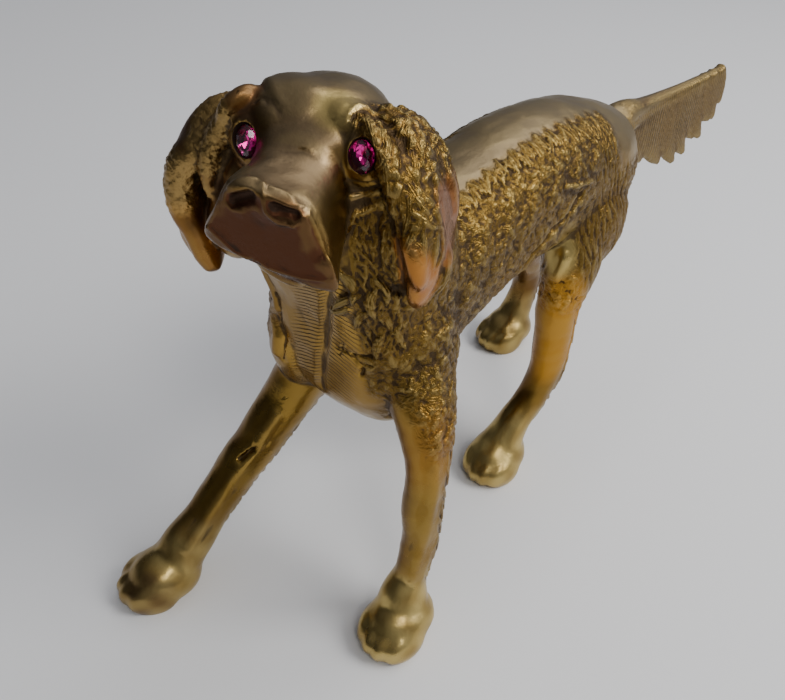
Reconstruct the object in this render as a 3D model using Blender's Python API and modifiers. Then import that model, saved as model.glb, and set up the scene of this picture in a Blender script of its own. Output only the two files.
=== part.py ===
"""A cast brass gun dog with a curly coat and two faceted red glass eyes.

Metres, +Z up. The dog faces -Y, its left side is +X, and its paws stand on Z = 0.
"""

import math

import bmesh
import bpy
import numpy as np
from mathutils import Euler, Matrix, Vector, kdtree

# Driving dimensions, in metres.
FIGURE_HEIGHT = 0.205
EYE_WIDTH = 0.0070
EYE_HEIGHT = 0.0089
EYE_CROWN = 0.0016
EYE_PAVILION = 0.0024
EYE_CLEARANCE = 0.0003

# The free form is laid out in parts, 205 of them to the figure's height.
PART = FIGURE_HEIGHT / 205
CAST_VOXEL = 1.25 * PART
CAST_TRIANGLES = 8900

# The head: the point midway between the eyes, and how it is turned there.
HEAD_AT = (1.0, -93.0, 185.0)
HEAD_PITCH = 4
HEAD_ROLL = 2.5
HEAD_YAW = 25
MUZZLE_AXIS = -12.0
MUZZLE_TWIST = -9
MUZZLE_SLANT = -0.16
# The left eye's place on the head, how far both drift to its side, and how they look outward and up.
EYE_AT = (16.2, -4.4, 2.2)
EYE_DRIFT = 1.1
EYE_TURN = 4
EYE_TILT = 8
EYE_FACETS = 12
EYE_TABLE_SHARE = 0.56
# The bulge of metal round a stone, and the socket's mouth.
LID = (7.6, 9.0, 6.0)
LID_STANDS = 1.4
SOCKET_REACH = 7.0
SOCKET_FLARE = 1.3

# The coat's locks: length, width, height and spacing, in parts.
LOCK = (9.5, 5.6, 1.5, 4.4)
LOCK_SEED = 7

BRASS = (0.46, 0.33, 0.13, 1.0)
RUBY = (0.62, 0.02, 0.22, 1.0)


def catmull_rom(rows, count):
    """A smooth run of count rows through the given rows."""
    rows = np.array(rows, float)
    padded = np.vstack([2 * rows[0] - rows[1], rows, 2 * rows[-1] - rows[-2]])
    place = np.linspace(0, len(rows) - 1, count)
    first = np.minimum(place.astype(int), len(rows) - 2)
    t = (place - first)[:, None]
    a, b, c, d = (padded[first + k] for k in range(4))
    return 0.5 * (2 * b + (c - a) * t + (2 * a - 5 * b + 4 * c - d) * t**2 + (3 * b - a - 3 * c + d) * t**3)


def bow(start, bend, end, share):
    """The point at a share of the way along a bowed line."""
    start, bend, end = (np.array(point, float) for point in (start, bend, end))
    return (1 - share) ** 2 * start + 2 * share * (1 - share) * bend + share**2 * end


def sweep(name, stations, across=(1, 0, 0), sides=40, rings=60):
    """A closed form along a path.

    A station is x, y, z, half width, half depth, squareness, how much wider it is at its foot,
    its twist in degrees, and how far its left side stands up for its width.
    """
    run = catmull_rom([(*row, 0, 0, 0)[:9] for row in stations], rings)
    path, radii = run[:, :3], np.maximum(run[:, 3:5], 0.15)
    power = 2 / np.maximum(run[:, 5], 1.0)
    along = np.gradient(path, axis=0)
    along /= np.linalg.norm(along, axis=1)[:, None]
    side = np.array(across, float) - along * (along @ np.array(across, float))[:, None]
    side /= np.linalg.norm(side, axis=1)[:, None]
    depth = np.cross(along, side)
    twist = np.radians(run[:, 7:8])
    side, depth = side * np.cos(twist) + depth * np.sin(twist), depth * np.cos(twist) - side * np.sin(twist)
    angle = np.linspace(0, 2 * math.pi, sides, endpoint=False)
    cosine, sine = np.cos(angle), np.sin(angle)
    mesh = bmesh.new()
    loops = []
    shapes = zip(path, radii, power, run[:, 6], run[:, 8], side, depth)
    for centre, (wide, deep), p, spread, slant, s, d in shapes:
        v = deep * np.sign(sine) * np.abs(sine) ** p
        u = wide * np.sign(cosine) * np.abs(cosine) ** p * (1 - spread * v / deep)
        ring = centre + u[:, None] * s + (v + slant * u)[:, None] * d
        loops.append([mesh.verts.new(Vector(point) * PART) for point in ring])
    for low, high in zip(loops, loops[1:]):
        for k in range(sides):
            mesh.faces.new((low[k], low[(k + 1) % sides], high[(k + 1) % sides], high[k]))
    mesh.faces.new(loops[0][::-1])
    mesh.faces.new(loops[-1])
    bmesh.ops.recalc_face_normals(mesh, faces=mesh.faces)
    return from_bmesh(name, mesh)


def ball(name, centre, radii, turn=(0, 0, 0)):
    """An ellipsoid, in parts, turned by degrees about X, Y and Z."""
    mesh = bmesh.new()
    bmesh.ops.create_uvsphere(mesh, u_segments=32, v_segments=20, radius=1)
    place = Matrix.Translation(Vector(centre) * PART)
    spin = Euler([math.radians(a) for a in turn]).to_matrix().to_4x4()
    size = Matrix.Diagonal((*(r * PART for r in radii), 1))
    mesh.transform(place @ spin @ size)
    return from_bmesh(name, mesh)


def from_bmesh(name, mesh):
    data = bpy.data.meshes.new(name)
    mesh.to_mesh(data)
    mesh.free()
    piece = bpy.data.objects.new(name, data)
    bpy.context.scene.collection.objects.link(piece)
    return piece


def head_place():
    """Where the head's own axes sit: X to the dog's left, -Y along the muzzle."""
    turn = Euler([math.radians(a) for a in (-HEAD_PITCH, -HEAD_ROLL, HEAD_YAW)]).to_matrix().to_4x4()
    return Matrix.Translation(Vector(HEAD_AT) * PART) @ turn


def on_head(pieces):
    for piece in pieces:
        piece.data.transform(head_place())
    return pieces


def torso():
    trunk = [
        (0, -78, 112, 12, 18, 2.0),
        (0, -72, 116, 24, 30, 2.2),
        (0, -52, 123.5, 26.5, 30.5, 2.3),
        (0, -22, 130.5, 25.5, 28.6, 2.3),
        (0, 8, 135, 25, 28.8, 2.3),
        (0, 36, 133.8, 25, 28.2, 2.3),
        (0, 58, 128.6, 24.5, 27, 2.3),
        (0, 72, 124.5, 20.5, 23.5, 2.2),
        (0, 81, 124.5, 14, 17, 2.0),
        (0, 86, 126, 5, 7, 2.0),
    ]
    chest = [
        (4, -66, 80, 8, 6, 2.0),
        (4, -67, 84, 19, 12, 2.2),
        (1, -68, 96, 28, 19, 2.6),
        (-2, -67, 112, 32.5, 23, 3.0),
        (-3, -67, 130, 31, 25, 3.0),
        (-3, -70, 148, 31, 27, 2.8),
        (-1, -74, 164, 28, 27, 2.3),
        (0, -79, 178, 23, 22, 2.0),
        (1, -81, 186, 16, 14, 2.0),
    ]
    return [
        sweep("trunk", trunk),
        sweep("chest", chest),
        ball("nape", (0, -60, 137), (19, 24, 17), (-32, 0, 0)),
        ball("left_shoulder", (19, -64, 109), (14, 17, 29), (8, 0, 0)),
        ball("right_shoulder", (-21, -68, 106), (16, 22, 28), (-16, 0, 0)),
        ball("left_haunch", (15, 47, 112), (14, 25, 23), (-22, 0, 0)),
        ball("right_haunch", (-15, 55, 117), (13.5, 21, 25), (12, 0, 0)),
    ]


def legs():
    front_left = [
        (22, -66, 108, 12, 15, 2),
        (31, -71, 93, 10.2, 12, 2),
        (37.5, -75, 77, 7.4, 8.4, 2),
        (39, -78, 60, 7.2, 7.8, 2),
        (40, -79, 42, 6.7, 7.2, 2),
        (40, -82.5, 27, 6.2, 7.0, 2),
        (40.4, -86.6, 18, 8.4, 9.6, 2),
        (42, -90, 10, 10.5, 9, 2),
    ]
    front_right = [
        (-18, -64, 102, 13, 15, 2),
        (-23, -71, 86, 11.5, 13.6, 2),
        (-27, -82, 70, 9.6, 11, 2),
        (-30.3, -95, 54, 8.8, 10, 2),
        (-33.5, -108.5, 39, 8.2, 9, 2),
        (-35, -120, 27, 8.0, 8.6, 2),
        (-36, -129.5, 18, 9.4, 9.8, 2),
        (-36.5, -137, 10.5, 11, 9, 2),
    ]
    back_left = [
        (15, 42, 116, 12, 18, 2),
        (19.5, 34, 99, 11, 15, 2),
        (20.5, 28, 81, 9, 9.6, 2),
        (21, 28.5, 63, 8.2, 8.8, 2),
        (21, 28, 48, 7.6, 8.6, 2),
        (20, 23, 35, 7.0, 7.8, 2),
        (18, 13, 23, 7.4, 8.2, 2),
        (17, 5, 12, 10, 9, 2),
    ]
    back_right = [
        (-17, 64, 114, 13, 19, 2),
        (-24, 66, 97, 12, 15, 2),
        (-29, 73, 80, 10, 12, 2),
        (-32, 82, 63, 8.6, 9.8, 2),
        (-34, 91, 48, 7.8, 8.8, 2),
        (-35, 94, 34, 7.0, 7.6, 2),
        (-36, 91, 21, 7.6, 8.4, 2),
        (-36, 86, 11, 10, 9, 2),
    ]
    runs = {
        "front_left": front_left,
        "front_right": front_right,
        "back_left": back_left,
        "back_right": back_right,
    }
    return [sweep(f"{name}_leg", run, rings=48, sides=32) for name, run in runs.items()]


def paw(name, ankle, heading, size=1.0):
    """A rounded paw with four toes, whose sole is flat on the ground."""
    turn = Matrix.Rotation(math.radians(heading), 4, "Z")
    place = Matrix.Translation(Vector((ankle[0], ankle[1], 0)) * PART) @ turn @ Matrix.Scale(size, 4)
    pieces = [ball(name + "_pad", (0, -3, 8.2), (12, 14, 10.4))]
    for k in range(4):
        spread = k - 1.5
        toe_x = 5.4 * spread
        toe_y = -13.5 + 2.2 * abs(spread)
        pieces.append(ball(f"{name}_toe_{k}", (toe_x, toe_y, 4.8), (4.5, 9.6, 7.4), (0, 0, -8 * spread)))
    for piece in pieces:
        piece.data.transform(place)
    return pieces


def paws():
    return (
        paw("front_left_paw", (42.6, -87.5), 3)
        + paw("front_right_paw", (-35.5, -138), -24, 1.02)
        + paw("back_left_paw", (17, 7.5), 4)
        + paw("back_right_paw", (-36, 88), -10)
    )


def eye_place(side):
    """Where a stone's widest ring sits: its own Z looks out of the socket."""
    seat = Matrix.Translation(Vector((side * EYE_AT[0] + EYE_DRIFT, EYE_AT[1], EYE_AT[2])) * PART)
    turn = Matrix.Rotation(side * math.radians(EYE_TURN), 4, "Z")
    tilt = Matrix.Rotation(math.radians(90 - EYE_TILT), 4, "X")
    return head_place() @ seat @ turn @ tilt


def on_muzzle(x, y, z):
    """A point of the untwisted muzzle, where the twist carries it."""
    twist = math.radians(MUZZLE_TWIST)
    up = z - MUZZLE_AXIS
    return (
        x * math.cos(twist) - up * math.sin(twist),
        y,
        MUZZLE_AXIS + up * math.cos(twist) + x * (math.sin(twist) + MUZZLE_SLANT),
    )


def head():
    skull = [
        (0, 36, -2, 6, 8, 2.0),
        (0, 32, -2, 14, 14, 2.1),
        (0, 22, -3, 20, 18.5, 2.2),
        (0, 11, -4, 22, 20.5, 2.3),
        (0, 5, -5.5, 21.5, 18.6, 2.4, 0.02, 0),
        (0, 1.5, -6.6, 19.2, 16.7, 2.5, 0.04, 0),
        (0, -1.5, -7.9, 13.6, 16.3, 2.6, 0.06, 0),
        (0, -4.5, -9.4, 13.8, 15.6, 2.8, 0.08, 0.2 * MUZZLE_TWIST, 0.2 * MUZZLE_SLANT),
        (0.2, -10, -10.3, 13.9, 14.2, 3.2, 0.16, 0.5 * MUZZLE_TWIST, 0.5 * MUZZLE_SLANT),
        (0.4, -15, -10.7, 14.2, 13.2, 3.8, 0.26, 0.8 * MUZZLE_TWIST, 0.8 * MUZZLE_SLANT),
        (0.8, -22, -10.9, 15.2, 12.7, 5.0, 0.34, MUZZLE_TWIST, MUZZLE_SLANT),
        (1, -26, -11.2, 15.4, 12.9, 6.0, 0.36, MUZZLE_TWIST, MUZZLE_SLANT),
        (1, -28, -11.6, 14.2, 12.0, 5.0, 0.36, MUZZLE_TWIST, MUZZLE_SLANT),
    ]
    cap = [
        (-2, -3, -4, 5, 5, 2.4),
        (-3, 0.5, -1, 9, 10, 2.6),
        (-4.2, 5, 2.4, 12, 13, 3.2),
        (-4.6, 9, 3, 12.8, 14, 3.4),
        (-3.8, 16, 0.6, 12.6, 14, 3),
        (-2, 23, -2.6, 9, 12, 2.4),
    ]
    jaw = [
        (0, 20, -22, 12, 8, 2),
        (0, 5, -25, 12, 6, 2.2),
        (0, -10, -25, 11, 4.5, 2.4, 0, 0.5 * MUZZLE_TWIST, 0.5 * MUZZLE_SLANT),
        (0, -20, -25, 9, 3.6, 2.2, 0, MUZZLE_TWIST, MUZZLE_SLANT),
        (0, -23, -24.5, 5, 2, 2.0, 0, MUZZLE_TWIST, MUZZLE_SLANT),
    ]
    nose = ball("nose", on_muzzle(1, -26.8, -3.4), (8.4, 3.6, 4.8), (0, 17, 0))
    pieces = [sweep("skull", skull), sweep("cap", cap), sweep("jaw", jaw), nose]
    for s in (-1, 1):
        pieces.append(ball(f"brow_{s}", (s * 12.5, 4, 8.4), (8, 7, 5), (0, s * 22, 0)))
        pieces.append(ball(f"cheek_{s}", (s * 20, 13, -14), (12, 16, 18)))
        pieces.append(ball(f"ruff_{s}", (s * 25, 9, -24), (10, 13, 17), (0, s * -10, 0)))
        lid = ball(f"lid_{s}", (0, 0, LID_STANDS - LID[2]), LID)
        lid.data.transform(head_place().inverted() @ eye_place(s))
        pieces.append(lid)
    return on_head(pieces)


def ear(name, side, flap, locks):
    """A hanging ear flap with locks of hair over it. A lock is its start, bend and end, and its width."""
    pieces = [sweep(name, [(side * x, *rest) for x, *rest in flap])]
    for k, (start, bend, end, wide) in enumerate(locks):
        run = []
        for share, size in ((0, 0.55), (0.25, 1.0), (0.5, 1.0), (0.75, 0.8), (1, 0.2)):
            x, y, z = bow(start, bend, end, share)
            run.append((side * x, y, z, 0.75 * wide * size, wide * size, 2))
        pieces.append(sweep(f"{name}_lock_{k}", run, sides=20, rings=28))
    return pieces


def ears():
    left = [
        (12, 12, 5, 3, 7, 2),
        (20, 11, 3, 6, 11, 2),
        (27, 10, -4, 7, 14, 2.2),
        (31, 9, -14, 7, 16, 2.4),
        (33, 8, -25, 6.4, 16, 2.4),
        (33, 5, -34, 5, 12, 2.3),
        (32, 3, -40, 3.6, 8, 2.1),
        (31, 2, -44, 2, 2.6, 2),
    ]
    left_locks = [
        ((15, 2, 10), (27, -4, 3), (29, -4, -19), 5.0),
        ((18, 9, 11), (35, 6, 3), (35, 1, -25), 5.2),
        ((19, 16, 8), (37, 15, 0), (38, 14, -28), 5.4),
        ((21, 20, 0), (36, 24, -10), (36, 18, -34), 4.6),
        ((29, -4, -15), (35, -8, -24), (34, -3, -36), 4.2),
        ((36, 8, -22), (40, 6, -32), (34, 4, -42), 4.0),
    ]
    right = [
        (12, 12, 5, 3, 7, 2),
        (22, 13, 1.5, 6, 12, 2),
        (33, 13, -4, 7, 15, 2.2),
        (40, 12, -13, 6.4, 16, 2.4),
        (41, 10, -25, 5.7, 14, 2.4),
        (38, 7, -34, 4.4, 11, 2.3),
        (36, 4, -40.5, 3.4, 7.5, 2.1),
        (34, 2, -44, 2, 2.6, 2),
    ]
    right_locks = [
        ((13, 4, 11.5), (22, 0, 13), (24, -1, 3), 4.4),
        ((18, 6, 10), (30, 0, 2), (31, -1, -18), 5.0),
        ((20, 12, 9), (43, 8, 3), (44, 3, -26), 5.4),
        ((22, 20, 6), (45, 20, 1), (45, 16, -28), 5.4),
        ((24, 26, -1), (43, 30, -10), (40, 20, -35), 4.6),
        ((41, 6, -21), (45, 4, -32), (36, 3, -43), 4.0),
    ]
    return on_head(ear("left_ear", 1, left, left_locks) + ear("right_ear", -1, right, right_locks))


def tail():
    dock = [
        (0, 74, 134, 9, 11, 2),
        (0, 90, 138.5, 7, 9, 2),
        (0, 108, 138, 4.6, 6, 2),
        (0, 138, 136, 3.6, 5, 2),
        (0, 168, 135, 2.8, 4, 2),
        (0, 188, 135, 2, 3, 2),
        (0, 195, 135.5, 1, 1.5, 2),
    ]
    tips = [(109, 116), (121, 109.5), (132, 109), (143, 101), (152, 102), (161, 95)]
    tips += [(172, 96.5), (180, 103), (188, 100.5), (194, 108.5), (199.5, 108), (202.5, 116)]
    pieces = [sweep("dock", dock)]
    for k, (tip_y, tip_z) in enumerate(tips):
        root_y = 92 + 98 * k / (len(tips) - 1)
        fall = 136 - tip_z
        lean = tip_y - root_y
        thick = 4.3 - 0.15 * k
        lock = [
            (0, root_y - 3, 136, thick, 5.6, 4),
            (0, root_y + 0.15 * lean, 136 - 0.35 * fall, 0.92 * thick, 6.2, 4),
            (0, root_y + 0.55 * lean, 136 - 0.72 * fall, 0.72 * thick, 5.2, 3),
            (0, tip_y, tip_z, 1.0, 1.6, 2),
        ]
        pieces.append(sweep(f"fringe_{k}", lock, sides=20, rings=24))
    return pieces


def fuse(name, pieces, voxel):
    """All the forms run together as one cast surface."""
    with bpy.context.temp_override(active_object=pieces[0], selected_editable_objects=pieces):
        bpy.ops.object.join()
    body = pieces[0]
    body.name = body.data.name = name
    remesh = body.modifiers.new("run_together", "REMESH")
    remesh.mode = "VOXEL"
    remesh.voxel_size = voxel
    soften = body.modifiers.new("soften", "SMOOTH")
    soften.factor = 0.5
    soften.iterations = 5
    settle(body)
    melt_ankles(body, voxel)
    return body


def melt_ankles(body, voxel):
    """Smooth away the joins between the legs and the paws."""
    height = vertices(body.data)[0][:, 2]
    share = ramp(height, 13, 19) * ramp(-height, -40, -32)
    ankles = body.vertex_groups.new(name="ankles")
    for k in np.flatnonzero(share):
        ankles.add([int(k)], float(share[k]), "REPLACE")
    melt = body.modifiers.new("melt", "SMOOTH")
    melt.factor = 0.5
    melt.iterations = round(14 * (CAST_VOXEL / voxel) ** 2)
    melt.vertex_group = ankles.name
    settle(body)


def settle(piece):
    """The piece's modifiers become its mesh."""
    bpy.context.view_layer.update()
    mesh = bpy.data.meshes.new_from_object(piece.evaluated_get(bpy.context.evaluated_depsgraph_get()))
    piece.modifiers.clear()
    piece.data = mesh


def vertices(mesh):
    """A mesh's points, in parts, and the directions its surface faces there."""
    points = np.empty(len(mesh.vertices) * 3, np.float32)
    mesh.vertices.foreach_get("co", points)
    facing = np.empty(len(mesh.vertices) * 3, np.float32)
    mesh.vertex_normals.foreach_get("vector", facing)
    return points.reshape(-1, 3) / PART, facing.reshape(-1, 3)


def ramp(value, low, high):
    """0 below low and 1 above high, smooth between."""
    share = np.clip((value - low) / (high - low), 0, 1)
    return share * share * (3 - 2 * share)


def curly(points):
    """Where the coat is curly: the flanks, shoulders and the sides of the neck, not the smooth back."""
    x, y, z = points.T
    wide = np.abs(x)
    back_edge = 9.5 + 1.2 * np.sin(y / 1.1) + 2.5 * ramp(-y, 20, 60) + 5 * ramp(-x, 0, 1)
    flank = ramp(wide - back_edge, 0, 2.5) * ramp(66 - y, 0, 8) * ramp(y, -84, -76)
    leg = ramp(z, 78, 90)
    haunch = ramp(np.hypot(y - 46, z - 104), 16, 24)
    breast = 1 - ramp(-y, 70, 76) * ramp(19 - wide, 0, 5)
    neck = ramp(y, -92, -86) * ramp(182 - z, 0, 6) * ramp(wide, 15, 20) * ramp(z, 96, 106)
    return np.maximum(flank * haunch * leg, neck * leg) * breast


def scatter(points, weight, spacing, seed):
    """Seeded spots where the weight is high, none closer together than the spacing."""
    tree = kdtree.KDTree(len(points))
    for k, point in enumerate(points):
        tree.insert(point, k)
    tree.balance()
    free = weight > 0.5
    spots = []
    for k in np.random.default_rng(seed).permutation(np.flatnonzero(free)):
        if free[k]:
            spots.append(k)
            free[[j for _, j, _ in tree.find_range(points[k], spacing)]] = False
    return spots


def locks_of_hair(points, roots, facing, size, seed):
    """How far each point stands up under overlapping pointed locks, from 0 between them to 1 on a crest."""
    length, width = size[:2]
    tree = kdtree.KDTree(len(points))
    for k, point in enumerate(points):
        tree.insert(point, k)
    tree.balance()
    chance = np.random.default_rng(seed)
    height = np.zeros(len(points))
    for root, up in zip(roots, facing):
        lie = np.array((0.0, 0.62, -0.78)) + chance.normal(0, 0.38, 3)
        curl = chance.uniform(-1.0, 1.0)
        stand = chance.uniform(0.7, 1.0)
        lie -= up * (lie @ up)
        lie /= np.linalg.norm(lie)
        near = np.array([k for _, k, _ in tree.find_range(root, 0.62 * length)])
        away = points[near] - root
        along = away @ lie / length + 0.5
        aside = away @ np.cross(up, lie) / (0.5 * width) + curl * (along - 0.5) ** 2 * 2.5
        reach = np.clip(along, 0, 1)
        half = 1.45 * reach**0.45 * (1 - reach) ** 0.7 + 1e-6
        crest = np.sqrt(np.clip(1 - (aside / half) ** 2, 0, 1)) * (0.55 + 0.45 * reach) * stand
        crest[(along <= 0) | (along >= 1)] = 0
        height[near] = np.maximum(height[near], crest)
    return height


def near_line(points, line, width):
    """1 on a drawn line, falling softly to 0 at its half width."""
    nearest = np.full(len(points), np.inf)
    for start, end in zip(line[:-1], line[1:]):
        start, run = np.array(start, float), np.array(end, float) - np.array(start, float)
        share = np.clip((points - start) @ run / (run @ run), 0, 1)
        nearest = np.minimum(nearest, np.linalg.norm(points - start - share[:, None] * run, axis=1))
    return np.clip(1 - (nearest / width) ** 2, 0, 1) ** 2


def face_lines():
    """The cuts and ridges of the face, on the head: the line, its half width, and how far it stands up."""
    lines = [
        ([on_muzzle(0, -31, -6.5), on_muzzle(0, -31, -15)], 1.4, -0.7),
        ([on_muzzle(12.5, -29, 1), on_muzzle(15.5, -29, -13)], 6.0, -2.6),
    ]
    for s in (-1, 1):
        nostril = [(s * 2.6, -31, -5.6), (s * 5.0, -31, -4.6), (s * 7.0, -29.5, -2.6)]
        mouth = [(s * 18.5, -26, -20), (s * 17, -20, -19.5)]
        cheek = [(s * 16, -12, -18), (s * 16, -4, -16)]
        rim = [(s * 9.5, -27.5, -1), (s * 18.0, -27.5, -22)]
        lines.append(([on_muzzle(*spot) for spot in nostril], 2.6, -2.2))
        lines.append(([on_muzzle(*spot) for spot in mouth] + cheek, 2.0, -1.0))
        lines.append(([on_muzzle(*spot) for spot in rim], 1.6, 0.5))
    return lines


def carve(body, roots, facing):
    """Push the cast surface out under the locks of the coat, and in along the lines of the face."""
    points, normals = vertices(body.data)
    coat = curly(points)
    rise = LOCK[2] * coat * (locks_of_hair(points, roots, facing, LOCK, LOCK_SEED) - 0.35)
    turn = np.array(head_place().to_3x3())
    on_face = (points - np.array(HEAD_AT)) @ turn
    for line, width, height in face_lines():
        rise += height * near_line(on_face, line, width)
    breast = [(13, -97, 154), (11, -95.5, 144), (6, -92, 130), (2, -90, 115), (-3, -86, 94)]
    rise -= 1.5 * near_line(points, breast, 3.2)
    moved = (points + normals * rise[:, None]) * PART
    body.data.vertices.foreach_set("co", moved.astype(np.float32).ravel())
    body.data.update()


def stand_flat(body):
    """Cut the soles off flat at the ground."""
    mesh = bmesh.new()
    mesh.from_mesh(body.data)
    everything = mesh.verts[:] + mesh.edges[:] + mesh.faces[:]
    cut = bmesh.ops.bisect_plane(mesh, geom=everything, plane_no=(0, 0, 1), clear_inner=True)
    rims = [edge for edge in cut["geom_cut"] if isinstance(edge, bmesh.types.BMEdge)]
    bmesh.ops.edgeloop_fill(mesh, edges=rims)
    bmesh.ops.recalc_face_normals(mesh, faces=mesh.faces)
    mesh.to_mesh(body.data)
    mesh.free()


def oval_spindle(name, rings, segments, side):
    """Coaxial oval rings joined by flat facets. A ring is its height on the axis and two half widths."""
    mesh = bmesh.new()
    for (low, *bottom), (high, *top) in zip(rings, rings[1:]):
        first = len(mesh.verts)
        bmesh.ops.create_cone(mesh, segments=segments, radius1=1, radius2=1, depth=high - low)
        mesh.verts.ensure_lookup_table()
        for corner in mesh.verts[first:]:
            wide, tall = bottom if corner.co.z < 0 else top
            corner.co = (corner.co.x * wide, corner.co.y * tall, corner.co.z + (low + high) / 2)
    bmesh.ops.remove_doubles(mesh, verts=mesh.verts, dist=1e-5)
    bmesh.ops.edgeloop_fill(mesh, edges=[edge for edge in mesh.edges if edge.is_boundary])
    bmesh.ops.recalc_face_normals(mesh, faces=mesh.faces)
    piece = from_bmesh(name, mesh)
    piece.matrix_world = eye_place(side)
    return piece


def stone(name, side):
    """An oval stone with flat facets: a table, a crown and a pointed back."""
    wide, tall = EYE_WIDTH / 2, EYE_HEIGHT / 2
    table = (EYE_CROWN, EYE_TABLE_SHARE * wide, EYE_TABLE_SHARE * tall)
    return oval_spindle(name, [(-EYE_PAVILION, 0, 0), (0, wide, tall), table], EYE_FACETS, side)


def socket(name, side):
    """The space cut for a stone: its own back with clearance, and a mouth that widens outward."""
    wide, tall = EYE_WIDTH / 2 + EYE_CLEARANCE, EYE_HEIGHT / 2 + EYE_CLEARANCE
    flare = SOCKET_FLARE * PART
    floor = (-EYE_PAVILION - 2 * EYE_CLEARANCE, 0, 0)
    mouth = (SOCKET_REACH * PART, wide + flare, tall + flare)
    cutter = oval_spindle(name, [floor, (0, wide, tall), mouth], 2 * EYE_FACETS, side)
    cutter.hide_render = True
    cutter.display_type = "WIRE"
    return cutter


def finish(name, colour, roughness, metallic):
    material = bpy.data.materials.new(name)
    material.use_nodes = True
    shader = material.node_tree.nodes["Principled BSDF"]
    shader.inputs["Base Color"].default_value = colour
    shader.inputs["Roughness"].default_value = roughness
    shader.inputs["Metallic"].default_value = metallic
    return material


def gather(name, pieces):
    """Put the pieces in a collection of their own."""
    group = bpy.data.collections.new(name)
    bpy.context.scene.collection.children.link(group)
    for piece in pieces:
        for old in list(piece.users_collection):
            old.objects.unlink(piece)
        group.objects.link(piece)


def cast_dog():
    """The whole figure but its eyes, as one casting."""
    dog = fuse("dog", torso() + legs() + paws() + head() + ears() + tail(), CAST_VOXEL)
    points, facing = vertices(dog.data)
    roots = scatter(points, curly(points), LOCK[3], LOCK_SEED)
    carve(dog, points[roots], facing[roots])
    thin = dog.modifiers.new("facets", "DECIMATE")
    thin.ratio = CAST_TRIANGLES / sum(len(face.vertices) - 2 for face in dog.data.polygons)
    settle(dog)
    stand_flat(dog)
    return dog


def stand_on_origin(dog, others):
    """Move everything so that the middle of the figure's box is over the origin."""
    corners = np.array([vertex.co for vertex in dog.data.vertices])
    middle = (corners.min(axis=0) + corners.max(axis=0)) / 2
    shift = Matrix.Translation((-middle[0], -middle[1], 0))
    dog.data.transform(shift)
    for piece in others:
        piece.matrix_world = shift @ piece.matrix_world


def main():
    for old in list(bpy.data.objects):
        bpy.data.objects.remove(old)
    dog = cast_dog()
    stones = [stone("left_eye", 1), stone("right_eye", -1)]
    sockets = [socket("left_socket", 1), socket("right_socket", -1)]
    stand_on_origin(dog, stones + sockets)
    gather("brass_dog", [dog] + stones)
    gather("cutters", sockets)
    for cutter in sockets:
        cut = dog.modifiers.new(cutter.name, "BOOLEAN")
        cut.operation = "DIFFERENCE"
        cut.object = cutter
    dog.data.materials.clear()
    dog.data.materials.append(finish("cast_brass", BRASS, 0.32, 1.0))
    ruby = finish("ruby_glass", RUBY, 0.05, 0.0)
    for piece in stones:
        piece.data.materials.append(ruby)


main()
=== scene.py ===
"""The looks of the cast brass dog: its casting in full relief, its ruby stones, the light and the camera.

The forms are laid out in parts, as in part.py, and then moved to where the frame has the left eye.
"""

from collections import namedtuple
import math

import bmesh
import bpy
import numpy as np
from mathutils import Euler, Matrix, Vector, kdtree
from mathutils.bvhtree import BVHTree


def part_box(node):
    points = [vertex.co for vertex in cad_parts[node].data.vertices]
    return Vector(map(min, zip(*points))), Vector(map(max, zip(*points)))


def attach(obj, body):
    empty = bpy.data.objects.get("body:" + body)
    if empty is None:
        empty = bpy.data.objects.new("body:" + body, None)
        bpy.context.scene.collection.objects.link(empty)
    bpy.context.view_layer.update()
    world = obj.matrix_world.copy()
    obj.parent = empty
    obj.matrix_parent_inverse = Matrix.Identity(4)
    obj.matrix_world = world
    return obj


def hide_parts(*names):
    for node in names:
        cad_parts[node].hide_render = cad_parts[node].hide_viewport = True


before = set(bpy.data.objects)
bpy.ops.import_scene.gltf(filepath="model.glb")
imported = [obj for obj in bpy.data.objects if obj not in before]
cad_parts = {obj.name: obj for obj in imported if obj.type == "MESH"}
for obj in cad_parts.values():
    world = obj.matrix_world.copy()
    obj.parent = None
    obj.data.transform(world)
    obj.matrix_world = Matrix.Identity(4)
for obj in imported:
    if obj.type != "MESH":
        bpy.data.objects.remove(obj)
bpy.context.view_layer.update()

# The photograph's camera, in the layout's own place: degrees, metres and pixels.
PHOTO_WIDTH = 785
CAMERA_TURNS = (41.13, 39.32, -2.56)
CAMERA_AT = (0.15306, -0.22837, 0.28283)
FOCAL_PIXELS = 815.06
SENSOR = 36

# The sizes that the CAD has, in metres and then in parts.
FIGURE_HEIGHT = 0.205
EYE_WIDTH = 0.0070
EYE_HEIGHT = 0.0089
EYE_CROWN = 0.0016
EYE_PAVILION = 0.0024
EYE_HALVES = (EYE_WIDTH / 2, EYE_HEIGHT / 2)
PART = FIGURE_HEIGHT / 205
CAST_VOXEL = 1.25 * PART
HEAD_AT = (1, -93, 185)
HEAD_TURNS = (-4, -2.5, 25)
MUZZLE_AXIS = -12
MUZZLE_TWIST = -9
MUZZLE_SLANT = -0.16
EYE_AT = (16.2, -4.4, 2.2)
EYE_DRIFT = 1.1
EYE_TURN = 4
EYE_TILT = 8
EYE_FACETS = 12
EYE_TABLE_SHARE = 0.56
LID = (7.6, 9.0, 6.0)
LID_STANDS = 1.4

# A station's squareness, spread, twist and slant where it doesn't give them.
STATION_REST = (2, 0, 0, 0)

# The casting's own grain here, and how often the CAD's grain would be smoothed, all over and at the feet.
FINE_VOXEL = 0.6 * PART
FINE_TRIANGLES = 185000
SMOOTH_ROUNDS = 5
MELT_ROUNDS = 14

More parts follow.
